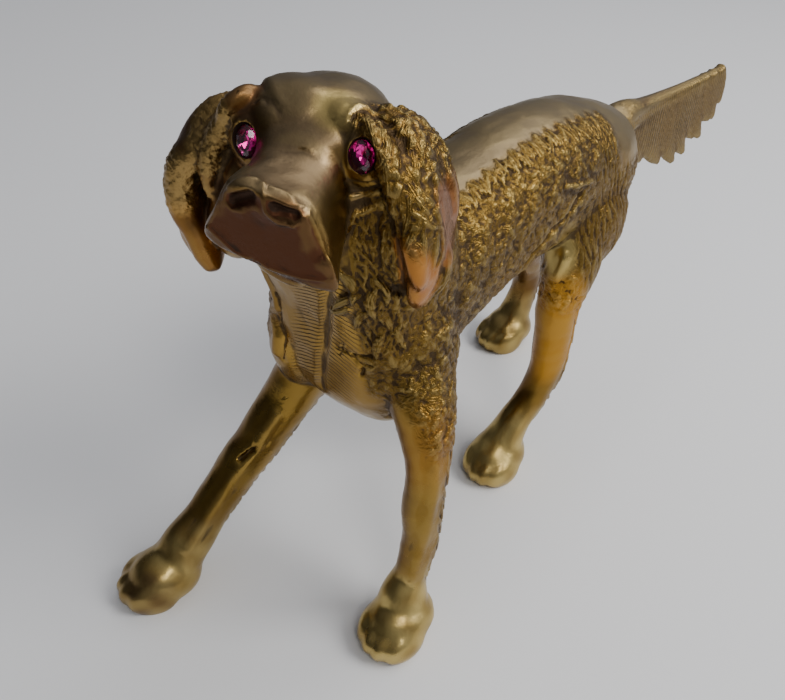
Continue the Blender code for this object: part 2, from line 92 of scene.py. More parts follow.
# The layers of hair, in parts: a lock's size, how close the locks stand, their seed, their lie, and how far
# they stray from it. The ear's lie is in the head's own axes, and the coat's locks are the CAD's.
Hair = namedtuple("Hair", "length width spacing seed lies stray")
COAT = Hair(9.5, 5.6, 4.4, 7, (0, 0.62, -0.78), 0.38)
FRINGE = Hair(7.5, 2.1, 1.25, 25, (0, 0.1, -1), 0.2)
HAUNCH = Hair(12, 2.6, 2.8, 27, (0, 0.12, -1), 0.14)
FEATHER = Hair(9, 3.6, 3.8, 29, (0, 0.3, -1), 0.25)
EAR = Hair(13, 4, 4.4, 35, (0, -0.1, -1), 0.28)
WISPS = Hair(7, 2, 2, 37, (0.25, 0.1, -1), 0.4)

# How far the fringe reaches along the body, the seed of its roots, and the first tuft's seed.
FRINGE_REACH = (-58, 50)
FRINGE_SEED = 24
TUFT_SEED = 50

# The layers of lumps: how close they stand, and their seed.
CURLS = (2.2, 21)
SMALL_CURLS = (1.3, 23)
EAR_LUMPS = (2.6, 31)
EAR_BEADS = (1.5, 33)

# The soft unevenness of each place: its length and its seed.
COAT_WAVES = (11, 8)
BROAD_WAVES = (17, 3)
SMALL_WAVES = (6, 4)
TAIL_WAVES = (14, 5)
PAW_WAVES = (9, 6)

# How far apart the engraved lines, the strands and the tail's grooves are.
HATCH_PITCH = 1.75
STRAND_PITCH = 0.75
TAIL_PITCH = 2.3

# Half the thickness of a stone's edge, and the dark seat round it, lined with patina and painted shadow of
# the socket: its clearance beside and behind it, its drift outward and up, its reach and its flare.
GIRDLE = 0.0001
SEAT_GAP = 0.0004
SEAT_DEPTH = 0.0006
SEAT_DRIFT = (0.0003, 0.0003)
SEAT_REACH = 0.007
SEAT_FLARE = 0.0008

# The tones of the brass, among them painted reflections, highlights and shade, of the stones, and of their
# seats.
GOLD = ((0.27, 0.165, 0.036, 1), (0.19, 0.108, 0.024, 1))
# A grey tan: partly a patina on the smooth tops, partly a painted sheen of the pale ceiling on faces turned
# up.
TAN_AND_TOP_SHEEN = (0.25, 0.185, 0.10, 1)
# A painted warm reflection, on the ears, forehead, thigh and knee.
COPPER_REFLECTION = (0.38, 0.125, 0.022, 1)
# A painted yellow reflection and highlight, on the forehead, thigh, knee and breast.
HONEY_REFLECTION = (0.42, 0.22, 0.028, 1)
OLIVE = (0.105, 0.062, 0.016, 1)
# Painted shade, on the sides turned from the light, with a darker tone on the bridge, tail and skull top.
PAINTED_SHADE = (0.085, 0.034, 0.017, 1)
# Metal rubbed bright on the high places, partly a painted highlight, and a painted highlight on the paws,
# haunch, breast and forehead.
RUBBED_AND_HIGHLIGHT = (0.62, 0.47, 0.17, 1)
GRIME = (0.028, 0.014, 0.006, 1)
# The seat's dark lining: patina, and painted shadow of the socket.
PATINA_AND_SEAT_SHADOW = (0.045, 0.022, 0.014, 1)
RUBY = (0.92, 0.08, 0.52, 1)
RUBY_IOR = 1.6
FOIL = (1.0, 0.30, 0.72, 1)

# How many rounds of smoothing the small relief and the larger forms are measured against.
RELIEF_ROUNDS = 10
FORM_ROUNDS = 60

# The light: its softboxes' names, places, sizes, powers and colours, and the room's own glow.
LIGHTS = (
    ("window", (0.75, 0.40, 0.85), 0.6, 10.5, (1.0, 0.99, 0.96)),
    ("ceiling", (0.0, 0.7, 1.3), 0.9, 6, (0.97, 0.98, 1.0)),
    ("lamp", (0.8, -0.5, 1.2), 0.35, 3.5, (1.0, 0.98, 0.94)),
)
LIGHTS_AIM = (0, -0.02, 0.11)
ROOM_TOWARDS = (0.55, 0.45, 0.70)
ROOM_GLOW = {"From Min": -0.35, "From Max": 0.95, "To Min": 0.06, "To Max": 0.55}
ROOM_COLOUR = (0.92, 0.94, 1.0, 1)
FLOOR_REACH = 3
FLOOR = (0.76, 0.76, 0.77, 1)


def catmull_rom(rows, count):
    """A smooth run of count rows through the given rows."""
    rows = np.array(rows, float)
    padded = np.vstack([2 * rows[0] - rows[1], rows, 2 * rows[-1] - rows[-2]])
    place = np.linspace(0, len(rows) - 1, count)
    first = np.minimum(place.astype(int), len(rows) - 2)
    t = (place - first)[:, None]
    a, b, c, d = (padded[first + k] for k in range(4))
    return 0.5 * (2 * b + (c - a) * t + (2 * a - 5 * b + 4 * c - d) * t**2 + (3 * b - a - 3 * c + d) * t**3)


def bow(start, bend, end, share):
    """The point at a share of the way along a bowed line."""
    start, bend, end = (np.array(point, float) for point in (start, bend, end))
    return (1 - share) ** 2 * start + 2 * share * (1 - share) * bend + share**2 * end


def sweep(name, stations, sides=40, rings=60):
    """A closed form along a path.

    A station is x, y, z, half width, half depth, squareness, how much wider it is at its foot,
    its twist in degrees, and how far its left side stands up for its width. The last four may be left out.
    """
    run = catmull_rom([(*row, *STATION_REST[len(row) - 5 :]) for row in stations], rings)
    path, radii = run[:, :3], np.maximum(run[:, 3:5], 0.15)
    power = 2 / np.maximum(run[:, 5], 1.0)
    along = np.gradient(path, axis=0)
    along /= np.linalg.norm(along, axis=1)[:, None]
    across = np.array((1.0, 0, 0))
    side = across - along * (along @ across)[:, None]
    side /= np.linalg.norm(side, axis=1)[:, None]
    depth = np.cross(along, side)
    twist = np.radians(run[:, 7:8])
    side, depth = side * np.cos(twist) + depth * np.sin(twist), depth * np.cos(twist) - side * np.sin(twist)
    angle = np.linspace(0, 2 * math.pi, sides, endpoint=False)
    cosine, sine = np.cos(angle), np.sin(angle)
    mesh = bmesh.new()
    loops = []
    shapes = zip(path, radii, power, run[:, 6], run[:, 8], side, depth)
    for centre, (wide, deep), p, spread, slant, s, d in shapes:
        v = deep * np.sign(sine) * np.abs(sine) ** p
        u = wide * np.sign(cosine) * np.abs(cosine) ** p * (1 - spread * v / deep)
        ring = centre + u[:, None] * s + (v + slant * u)[:, None] * d
        loops.append([mesh.verts.new(Vector(point) * PART) for point in ring])
    for low, high in zip(loops, loops[1:]):
        for k in range(sides):
            mesh.faces.new((low[k], low[(k + 1) % sides], high[(k + 1) % sides], high[k]))
    mesh.faces.new(loops[0][::-1])
    mesh.faces.new(loops[-1])
    bmesh.ops.recalc_face_normals(mesh, faces=mesh.faces)
    return from_bmesh(name, mesh)


def ball(name, centre, radii, turn=(0, 0, 0)):
    """An ellipsoid, in parts, turned by degrees about X, Y and Z."""
    mesh = bmesh.new()
    bmesh.ops.create_uvsphere(mesh, u_segments=32, v_segments=20, radius=1)
    place = Matrix.Translation(Vector(centre) * PART)
    spin = Euler([math.radians(a) for a in turn]).to_matrix().to_4x4()
    size = Matrix.Diagonal((*(r * PART for r in radii), 1))
    mesh.transform(place @ spin @ size)
    return from_bmesh(name, mesh)


def placed(data):
    """An object of its data's name, in the scene."""
    thing = bpy.data.objects.new(data.name, data)
    bpy.context.scene.collection.objects.link(thing)
    return thing


def from_bmesh(name, mesh):
    data = bpy.data.meshes.new(name)
    mesh.to_mesh(data)
    mesh.free()
    piece = placed(data)
    piece.name = name
    return piece


def head_place():
    """Where the head's own axes sit: X to the dog's left, -Y along the muzzle."""
    turn = Euler([math.radians(a) for a in HEAD_TURNS]).to_matrix().to_4x4()
    return Matrix.Translation(Vector(HEAD_AT) * PART) @ turn


def on_head(pieces):
    for piece in pieces:
        piece.data.transform(head_place())
    return pieces


def torso():
    trunk = [
        (0, -78, 112, 12, 18), (0, -72, 116, 24, 30, 2.2), (0, -52, 123.5, 26.5, 30.5, 2.3),
        (0, -22, 130.5, 25.5, 28.6, 2.3), (0, 8, 135, 25, 28.8, 2.3), (0, 36, 133.8, 25, 28.2, 2.3),
        (0, 58, 128.6, 24.5, 27, 2.3), (0, 72, 124.5, 20.5, 23.5, 2.2), (0, 81, 124.5, 14, 17),
        (0, 86, 126, 5, 7),
    ]
    chest = [
        (4, -66, 80, 8, 6), (4, -67, 84, 19, 12, 2.2), (1, -68, 96, 28, 19, 2.6),
        (-2, -67, 112, 32.5, 23, 3), (-3, -67, 130, 31, 25, 3), (-3, -70, 148, 31, 27, 2.8),
        (-1, -74, 164, 28, 27, 2.3), (0, -79, 178, 23, 22), (1, -81, 186, 16, 14),
    ]
    return [
        sweep("trunk", trunk),
        sweep("chest", chest),
        ball("nape", (0, -60, 137), (19, 24, 17), (-32, 0, 0)),
        ball("left_shoulder", (19, -64, 109), (14, 17, 29), (8, 0, 0)),
        ball("right_shoulder", (-21, -68, 106), (16, 22, 28), (-16, 0, 0)),
        ball("left_haunch", (15, 47, 112), (14, 25, 23), (-22, 0, 0)),
        ball("right_haunch", (-15, 55, 117), (13.5, 21, 25), (12, 0, 0)),
    ]


def legs():
    front_left = [
        (22, -66, 108, 12, 15), (31, -71, 93, 10.2, 12), (37.5, -75, 77, 7.4, 8.4),
        (39, -78, 60, 7.2, 7.8), (40, -79, 42, 6.7, 7.2), (40, -82.5, 27, 6.2, 7),
        (40.4, -86.6, 18, 8.4, 9.6), (42, -90, 10, 10.5, 9),
    ]
    front_right = [
        (-18, -64, 102, 13, 15), (-23, -71, 86, 11.5, 13.6), (-27, -82, 70, 9.6, 11),
        (-30.3, -95, 54, 8.8, 10), (-33.5, -108.5, 39, 8.2, 9), (-35, -120, 27, 8, 8.6),
        (-36, -129.5, 18, 9.4, 9.8), (-36.5, -137, 10.5, 11, 9),
    ]
    back_left = [
        (15, 42, 116, 12, 18), (19.5, 34, 99, 11, 15), (20.5, 28, 81, 9, 9.6), (21, 28.5, 63, 8.2, 8.8),
        (21, 28, 48, 7.6, 8.6), (20, 23, 35, 7, 7.8), (18, 13, 23, 7.4, 8.2), (17, 5, 12, 10, 9),
    ]
    back_right = [
        (-17, 64, 114, 13, 19), (-24, 66, 97, 12, 15), (-29, 73, 80, 10, 12), (-32, 82, 63, 8.6, 9.8),
        (-34, 91, 48, 7.8, 8.8), (-35, 94, 34, 7, 7.6), (-36, 91, 21, 7.6, 8.4), (-36, 86, 11, 10, 9),
    ]
    runs = (front_left, front_right, back_left, back_right)
    return [sweep("leg", run, rings=48, sides=32) for run in runs]


def paw(name, ankle, heading, size=1.0):
    """A rounded paw with four toes, whose sole is flat on the ground."""
    turn = Matrix.Rotation(math.radians(heading), 4, "Z")
    place = Matrix.Translation(Vector((ankle[0], ankle[1], 0)) * PART) @ turn @ Matrix.Scale(size, 4)
    pieces = [ball(name + "_pad", (0, -3, 8.2), (12, 14, 10.4))]
    for k in range(4):
        spread = k - 1.5
        toe_x = 5.4 * spread
        toe_y = -13.5 + 2.2 * abs(spread)
        pieces.append(ball(f"{name}_toe_{k}", (toe_x, toe_y, 4.8), (4.5, 9.6, 7.4), (0, 0, -8 * spread)))
    for piece in pieces:
        piece.data.transform(place)
    return pieces


def paws():
    return (
        paw("front_left_paw", (42.6, -87.5), 3)
        + paw("front_right_paw", (-35.5, -138), -24, 1.02)
        + paw("back_left_paw", (17, 7.5), 4)
        + paw("back_right_paw", (-36, 88), -10)
    )


def eye_place(side):
    """Where a stone's widest ring sits: its own Z looks out of the socket."""
    seat = Matrix.Translation(Vector((side * EYE_AT[0] + EYE_DRIFT, EYE_AT[1], EYE_AT[2])) * PART)
    turn = Matrix.Rotation(side * math.radians(EYE_TURN), 4, "Z")
    tilt = Matrix.Rotation(math.radians(90 - EYE_TILT), 4, "X")
    return head_place() @ seat @ turn @ tilt


def on_muzzle(x, y, z):
    """A point of the untwisted muzzle, where the twist carries it."""
    twist = math.radians(MUZZLE_TWIST)
    up = z - MUZZLE_AXIS
    return (
        x * math.cos(twist) - up * math.sin(twist),
        y,
        MUZZLE_AXIS + up * math.cos(twist) + x * (math.sin(twist) + MUZZLE_SLANT),
    )


def turned(share):
    """A station's share of the muzzle's twist and slant."""
    return share * MUZZLE_TWIST, share * MUZZLE_SLANT


def head():
    skull = [
        (0, 36, -2, 6, 8), (0, 32, -2, 14, 14, 2.1), (0, 22, -3, 20, 18.5, 2.2),
        (0, 11, -4, 22, 20.5, 2.3), (0, 5, -5.5, 21.5, 18.6, 2.4, 0.02, 0),
        (0, 1.5, -6.6, 19.2, 16.7, 2.5, 0.04, 0), (0, -1.5, -7.9, 13.6, 16.3, 2.6, 0.06, 0),
        (0, -4.5, -9.4, 13.8, 15.6, 2.8, 0.08, *turned(0.2)),
        (0.2, -10, -10.3, 13.9, 14.2, 3.2, 0.16, *turned(0.5)),
        (0.4, -15, -10.7, 14.2, 13.2, 3.8, 0.26, *turned(0.8)),
        (0.8, -22, -10.9, 15.2, 12.7, 5, 0.34, *turned(1)), (1, -26, -11.2, 15.4, 12.9, 6, 0.36, *turned(1)),
        (1, -28, -11.6, 14.2, 12, 5, 0.36, *turned(1)),
    ]
    cap = [
        (-2, -3, -4, 5, 5, 2.4), (-3, 0.5, -1, 9, 10, 2.6), (-4.2, 5, 2.4, 12, 13, 3.2),
        (-4.6, 9, 3, 12.8, 14, 3.4), (-3.8, 16, 0.6, 12.6, 14, 3), (-2, 23, -2.6, 9, 12, 2.4),
    ]
    jaw = [
        (0, 20, -22, 12, 8), (0, 5, -25, 12, 6, 2.2),
        (0, -10, -25, 11, 4.5, 2.4, 0, *turned(0.5)),
        (0, -20, -25, 9, 3.6, 2.2, 0, *turned(1)), (0, -23, -24.5, 5, 2, 2, 0, *turned(1)),
    ]
    nose = ball("nose", on_muzzle(1, -26.8, -3.4), (8.4, 3.6, 4.8), (0, 17, 0))
    pieces = [sweep("skull", skull), sweep("cap", cap), sweep("jaw", jaw), nose]
    for s in (-1, 1):
        pieces.append(ball(f"brow_{s}", (s * 12.5, 4, 8.4), (8, 7, 5), (0, s * 22, 0)))
        pieces.append(ball(f"cheek_{s}", (s * 20, 13, -14), (12, 16, 18)))
        pieces.append(ball(f"ruff_{s}", (s * 25, 9, -24), (10, 13, 17), (0, s * -10, 0)))
        lid = ball(f"lid_{s}", (0, 0, LID_STANDS - LID[2]), LID)
        lid.data.transform(head_place().inverted() @ eye_place(s))
        pieces.append(lid)
    return on_head(pieces)


def ear(name, side, flap, locks):
    """A hanging ear flap with locks of hair over it. A lock is its start, bend and end, and its width."""
    pieces = [sweep(name, [(side * x, *rest) for x, *rest in flap])]
    for k, (start, bend, end, wide) in enumerate(locks):
        run = []
        for share, size in ((0, 0.55), (0.25, 1.0), (0.5, 1.0), (0.75, 0.8), (1, 0.2)):
            x, y, z = bow(start, bend, end, share)
            run.append((side * x, y, z, 0.75 * wide * size, wide * size))
        pieces.append(sweep(f"{name}_lock_{k}", run, sides=20, rings=28))
    return pieces


def ears():
    left = [
        (12, 12, 5, 3, 7), (20, 11, 3, 6, 11), (27, 10, -4, 7, 14, 2.2), (31, 9, -14, 7, 16, 2.4),
        (33, 8, -25, 6.4, 16, 2.4), (33, 5, -34, 5, 12, 2.3), (32, 3, -40, 3.6, 8, 2.1),
        (31, 2, -44, 2, 2.6),
    ]
    left_locks = [
        ((15, 2, 10), (27, -4, 3), (29, -4, -19), 5), ((18, 9, 11), (35, 6, 3), (35, 1, -25), 5.2),
        ((19, 16, 8), (37, 15, 0), (38, 14, -28), 5.4),
        ((21, 20, 0), (36, 24, -10), (36, 18, -34), 4.6),
        ((29, -4, -15), (35, -8, -24), (34, -3, -36), 4.2),
        ((36, 8, -22), (40, 6, -32), (34, 4, -42), 4),
    ]
    right = [
        (12, 12, 5, 3, 7), (22, 13, 1.5, 6, 12), (33, 13, -4, 7, 15, 2.2), (40, 12, -13, 6.4, 16, 2.4),
        (41, 10, -25, 5.7, 14, 2.4), (38, 7, -34, 4.4, 11, 2.3), (36, 4, -40.5, 3.4, 7.5, 2.1),
        (34, 2, -44, 2, 2.6),
    ]
    right_locks = [
        ((13, 4, 11.5), (22, 0, 13), (24, -1, 3), 4.4), ((18, 6, 10), (30, 0, 2), (31, -1, -18), 5),
        ((20, 12, 9), (43, 8, 3), (44, 3, -26), 5.4), ((22, 20, 6), (45, 20, 1), (45, 16, -28), 5.4),
        ((24, 26, -1), (43, 30, -10), (40, 20, -35), 4.6),
        ((41, 6, -21), (45, 4, -32), (36, 3, -43), 4),
    ]
    return on_head(ear("left_ear", 1, left, left_locks) + ear("right_ear", -1, right, right_locks))


def tail():
    dock = [
        (0, 74, 134, 9, 11), (0, 90, 138.5, 7, 9), (0, 108, 138, 4.6, 6), (0, 138, 136, 3.6, 5),
        (0, 168, 135, 2.8, 4), (0, 188, 135, 2, 3), (0, 195, 135.5, 1, 1.5),
    ]
    tips = [(109, 116), (121, 109.5), (132, 109), (143, 101), (152, 102), (161, 95)]
    tips += [(172, 96.5), (180, 103), (188, 100.5), (194, 108.5), (199.5, 108), (202.5, 116)]
    pieces = [sweep("dock", dock)]
    for k, (tip_y, tip_z) in enumerate(tips):
        root_y = 92 + 98 * k / (len(tips) - 1)
        fall = 136 - tip_z
        lean = tip_y - root_y
        thick = 4.3 - 0.15 * k
        lock = [
            (0, root_y - 3, 136, thick, 5.6, 4),
            (0, root_y + 0.15 * lean, 136 - 0.35 * fall, 0.92 * thick, 6.2, 4),
            (0, root_y + 0.55 * lean, 136 - 0.72 * fall, 0.72 * thick, 5.2, 3),
            (0, tip_y, tip_z, 1.0, 1.6, 2),
        ]
        pieces.append(sweep(f"fringe_{k}", lock, sides=20, rings=24))
    return pieces


def settle(piece):
    """The piece's modifiers become its mesh."""
    bpy.context.view_layer.update()
    mesh = bpy.data.meshes.new_from_object(piece.evaluated_get(bpy.context.evaluated_depsgraph_get()))
    piece.modifiers.clear()
    piece.data = mesh


def vertices(mesh):
    """A mesh's points, in parts, and the directions its surface faces there."""
    points = np.empty(len(mesh.vertices) * 3, np.float32)
    mesh.vertices.foreach_get("co", points)
    facing = np.empty(len(mesh.vertices) * 3, np.float32)
    mesh.vertex_normals.foreach_get("vector", facing)
    return points.reshape(-1, 3) / PART, facing.reshape(-1, 3)


def ramp(value, low, high):
    """0 below low and 1 above high, smooth between."""
    share = np.clip((value - low) / (high - low), 0, 1)
    return share * share * (3 - 2 * share)


def patch(points, centre, stretch, radius, edge):
    """1 well inside a ball and 0 outside its radius. A stretch below 1 makes it longer that way."""
    away = np.linalg.norm((points - np.array(centre)) * stretch, axis=1)
    return ramp(radius - away, 0, edge)


def back_edge(x, y):
    """How far out the smooth back ends and the curls begin."""
    return 9.5 + 1.2 * np.sin(y / 1.1) + 2.5 * ramp(-y, 20, 60) + 5 * ramp(-x, 0, 1)


def curly(points):
    """Where the coat is curly: the flanks, shoulders and the sides of the neck, not the smooth back."""
    x, y, z = points.T
    wide = np.abs(x)
    flank = ramp(wide - back_edge(x, y), 0, 2.5) * ramp(66 - y, 0, 8) * ramp(y, -84, -76)
    leg = ramp(z, 78, 90)
    haunch = ramp(np.hypot(y - 46, z - 104), 16, 24)
    breast = 1 - ramp(-y, 70, 76) * ramp(19 - wide, 0, 5)
    neck = ramp(y, -92, -86) * ramp(182 - z, 0, 6) * ramp(wide, 15, 20) * ramp(z, 96, 106)
    return np.maximum(flank * haunch * leg, neck * leg) * breast


def tree_of(places):
    """A search tree of the places, numbered in their order."""
    tree = kdtree.KDTree(len(places))
    for k, place in enumerate(places):
        tree.insert(place, k)
    tree.balance()
    return tree


def scatter(points, weight, spacing, seed):
    """Seeded spots where the weight is high, none closer together than the spacing."""
    tree = tree_of(points)
    free = weight > 0.5
    spots = []
    for k in np.random.default_rng(seed).permutation(np.flatnonzero(free)):
        if free[k]:
            spots.append(k)
            free[[j for _, j, _ in tree.find_range(points[k], spacing)]] = False
    return spots


def near_line(points, line, width):
    """1 on a drawn line, falling softly to 0 at its half width."""
    away = np.full(len(points), np.inf)
    for start, end in zip(line[:-1], line[1:]):
        start, run = np.array(start, float), np.array(end, float) - np.array(start, float)
        share = np.clip((points - start) @ run / (run @ run), 0, 1)
        away = np.minimum(away, np.linalg.norm(points - start - share[:, None] * run, axis=1))
    return np.clip(1 - (away / width) ** 2, 0, 1) ** 2


def stand_flat(body):
    """Cut the soles off flat at the ground."""
    mesh = bmesh.new()
    mesh.from_mesh(body.data)
    everything = mesh.verts[:] + mesh.edges[:] + mesh.faces[:]
    cut = bmesh.ops.bisect_plane(mesh, geom=everything, plane_no=(0, 0, 1), clear_inner=True)
    rims = [edge for edge in cut["geom_cut"] if isinstance(edge, bmesh.types.BMEdge)]
    bmesh.ops.edgeloop_fill(mesh, edges=rims)
    bmesh.ops.recalc_face_normals(mesh, faces=mesh.faces)
    mesh.to_mesh(body.data)
    mesh.free()


def oval_spindle(name, rings, segments, side):
    """Coaxial oval rings joined by flat facets. A ring is its height on the axis and two half widths."""
    mesh = bmesh.new()
    for (low, *bottom), (high, *top) in zip(rings, rings[1:]):
        first = len(mesh.verts)
        bmesh.ops.create_cone(mesh, segments=segments, radius1=1, radius2=1, depth=high - low)
        mesh.verts.ensure_lookup_table()
        for corner in mesh.verts[first:]:
            wide, tall = bottom if corner.co.z < 0 else top
            corner.co = (corner.co.x * wide, corner.co.y * tall, corner.co.z + (low + high) / 2)
    bmesh.ops.remove_doubles(mesh, verts=mesh.verts, dist=1e-5)
    bmesh.ops.edgeloop_fill(mesh, edges=[edge for edge in mesh.edges if edge.is_boundary])
    bmesh.ops.recalc_face_normals(mesh, faces=mesh.faces)
    piece = from_bmesh(name, mesh)
    piece.matrix_world = eye_place(side)
    return piece


def fuse(name, pieces, voxel):
    """All the forms run together as one cast surface, rounded as far as the CAD's and melted at the feet."""
    with bpy.context.temp_override(active_object=pieces[0], selected_editable_objects=pieces):
        bpy.ops.object.join()
    body = pieces[0]
    body.name = body.data.name = name
    remesh = body.modifiers.new("run_together", "REMESH")
    remesh.mode = "VOXEL"
    remesh.voxel_size = voxel
    soften = body.modifiers.new("soften", "SMOOTH")
    soften.factor = 0.5
    soften.iterations = round(SMOOTH_ROUNDS * (CAST_VOXEL / voxel) ** 2)
    settle(body)
    melt_feet(body, voxel)
    return body


def melt_feet(body, voxel):
    """Smooth away the joins between the legs and the paws, and most of the gaps between the toes."""
    height = vertices(body.data)[0][:, 2]
    share = (0.4 + 0.6 * ramp(height, 13, 19)) * ramp(-height, -40, -32)
    feet = body.vertex_groups.new(name="feet")
    for k in np.flatnonzero(share):
        feet.add([int(k)], float(share[k]), "REPLACE")
    melt = body.modifiers.new("melt", "SMOOTH")
    melt.factor = 0.5
    melt.iterations = round(MELT_ROUNDS * (CAST_VOXEL / voxel) ** 2)
    melt.vertex_group = feet.name
    settle(body)


def forms():
    return torso() + legs() + paws() + head() + ears() + tail()


def close_to(points, pieces, reach):
    """1 on the given forms, falling to 0 a reach away, in parts. The forms are used up."""
    share = np.zeros(len(points))
    places = points * PART
    far = reach * PART
    for piece in pieces:
        corners = [vertex.co.copy() for vertex in piece.data.vertices]
        tree = BVHTree.FromPolygons(corners, [tuple(face.vertices) for face in piece.data.polygons])
        low, high = np.min(corners, axis=0) - far, np.max(corners, axis=0) + far
        for k in np.flatnonzero(((places > low) & (places < high)).all(axis=1)):
            away = tree.find_nearest(places[k], far)[3]
            if away is not None:
                share[k] = max(share[k], 1 - away / far)
        bpy.data.objects.remove(piece)
    return ramp(share, 0, 0.7)


def locks_of_hair(points, roots, facing, hair):
    """Overlapping pointed locks: how far each point stands up, from 0 between them to 1 on a crest, and how
    far across its lock it lies, in parts."""
    tree = tree_of(points)
    chance = np.random.default_rng(hair.seed)
    height = np.zeros(len(points))
    across = np.zeros(len(points))
    for root, up in zip(roots, facing):
        lie = np.array(hair.lies) + chance.normal(0, hair.stray, 3)
        curl = chance.uniform(-1, 1)
        stand = chance.uniform(0.7, 1.0)
        lie -= up * (lie @ up)
        lie /= np.linalg.norm(lie)
        near = np.array([k for _, k, _ in tree.find_range(root, 0.62 * hair.length)], int)
        away = points[near] - root
        along = away @ lie / hair.length + 0.5
        aside = away @ np.cross(up, lie) / (0.5 * hair.width) + curl * (along - 0.5) ** 2 * 2.5
        reach = np.clip(along, 0, 1)
        half = 1.45 * reach**0.45 * (1 - reach) ** 0.7 + 1e-6
        crest = np.sqrt(np.clip(1 - (aside / half) ** 2, 0, 1)) * (0.55 + 0.45 * reach) * stand
        crest[(along <= 0) | (along >= 1)] = 0
        higher = crest > height[near]
        height[near[higher]] = crest[higher]
        across[near[higher]] = 0.5 * hair.width * aside[higher]
    return height, across


def hair_layer(points, facing, weight, hair):
    """One layer of locks over the places that a weight picks."""
    roots = scatter(points, weight, hair.spacing, hair.seed)
    return locks_of_hair(points, points[roots], facing[roots], hair)


def waves(points, length, seed):
    """A soft unevenness, from -1 to 1, whose bumps are about a length across."""
    chance = np.random.default_rng(seed)
    total = np.zeros(len(points))
    for _ in range(6):
        run = chance.normal(0, 1, 3)
        run /= np.linalg.norm(run)
        total += np.sin(points @ run * 2 * math.pi / length + chance.uniform(0, 6.28))
    return np.clip(total / 2.5, -1, 1)


def pebbles(points, weight, spacing, seed):
    """Uneven lumps packed side by side: how high each point is, from 0 between them to 1, and the turn of a
    curl round each lump, in parts."""
    warp = np.stack([waves(points, 2.6 * spacing, seed + k) for k in (1, 2, 3)], axis=1)
    bent = points + 0.32 * spacing * warp
    spots = scatter(points, weight, spacing, seed)
    tree = tree_of(bent[spots])
    stand = np.random.default_rng(seed).uniform(0.45, 1.0, len(spots))
    height = np.zeros(len(points))
    turn = np.zeros(len(points))
    for k in np.flatnonzero(weight > 0.02):
        centre, spot, away = tree.find(bent[k])
        height[k] = stand[spot] * (1 - min(1.0, away / (0.8 * spacing)) ** 2)
        turn[k] = away + 0.12 * math.atan2(bent[k][2] - centre[2], bent[k][1] - centre[1])
    return height, turn


def groove_x(z):
    """Where the breast's middle groove lies across the body at a height."""
    return np.interp(z, (94, 115, 130, 144, 154), (-3, 2, 6, 11, 13))


# The face's cuts and ridges, in the head's own axes: the line, its half width, and how far it stands up.
FACE_MARKS = (
    # The brows.
    ([(14, -2.5, 11), (14.6, 0.4, 12.2), (16.2, 2.3, 12.2), (18.4, 2.8, 11.2), (20.4, -0.5, 10)],
     0.9, -0.9),
    ([(13, -1, 11.4), (14.2, 2.6, 12.8), (17, 4.4, 12.4), (20.4, 3.4, 10.8)], 1.4, 0.7),
    ([(-15.6, 6.8, 12.2), (-12.3, 3, 13.4), (-9.7, 0, 12.6), (-7.2, -1.8, 11), (-5.2, -3, 9.8)],
     1.4, -0.3),
    ([(-14.4, 8.6, 14.4), (-11.2, 5, 15.2), (-8.4, 2, 14.2), (-5.6, -0.6, 12.2)], 2, 0.3),
    ([(-13.6, -1.6, 12.2), (-11.4, 0, 12.8), (-9.2, -1.6, 11.4)], 0.9, -0.5),
    # The nose: its upper edge, its hollows and the fold of its wing.
    ([(-7.6, -29.3, 0.5), (-5.4, -29.6, 2.2), (-3.3, -28.3, 3), (-1.4, -27.4, 2.9), (0.5, -28, 2.2)],
     1.1, 0.45),
    ([(2.8, -27.9, 1.5), (5.3, -27.6, 0.6), (7.7, -27.6, -0.2), (9.6, -28.3, -1.6), (10.9, -26.6, -2.7)],
     1.1, 0.4),
    ([(-7, -29.3, -2.8), (-4.8, -30, -1.8), (-2.2, -30.6, -0.8)], 2.7, -1.9),
    ([(4.4, -29.4, -2.6), (6.6, -29, -3.4), (9.2, -28.2, -4)], 2.1, -1.7),
    ([(0.8, -28.6, 2), (1.7, -30.6, -0.8), (2.2, -30.6, -4), (4.6, -29.6, -6.8), (8.6, -28.9, -6.8)],
     1.1, 0.6),
    ([(8.6, -28.9, -6.8), (11.4, -27.6, -5.2), (11.9, -25.8, -3.4)], 1, 0.4),
    ([(-8.4, -28.8, -1.6), (-8.2, -29.6, -5), (-4.6, -30.4, -6), (-0.6, -30.8, -4)], 1, 0.2),
    # The lips: the rim round the flat front, and the mouth.
    ([(-6.9, -22, 2.6), (-8.4, -27.5, 0.6), (-12.4, -28.6, -6), (-16.6, -28, -12.7)], 1, 0.5),
    ([(-16.6, -28, -12.7), (-9.9, -27.4, -19.4), (-1, -26.4, -23.4), (7.8, -26.6, -24), (16.9, -25, -23.4)],
     1, 0.4),
    ([(13.6, -27, -4), (16.6, -25.4, -13), (18.2, -25, -22)], 1, 0.4),
    ([(13.2, -29, -0.6), (15.4, -28.4, -9), (16.2, -27.6, -15)], 4.6, -1.2),
    ([(-5.6, -25.8, -21.2), (-3.4, -25.6, -22.2)], 1.1, -0.8),
    ([(-15.5, -22, -17.5), (-14.5, -12, -18), (-15.5, -4, -16)], 1.6, -0.9),
    # The cheek beside the left side of the muzzle.
    ([(14.2, -4.2, -9.6), (17.2, -3.4, -8.6), (21.6, -2.4, -7.6)], 1.5, 1.1),
    ([(13.3, -6.7, -18), (15, -5.2, -15), (19.4, -3.2, -12.6)], 1.5, 0.9),
    ([(13.6, -5.2, -5.2), (17.4, -4.6, -6), (21, -2.6, -4.4)], 1.2, -0.8),
)


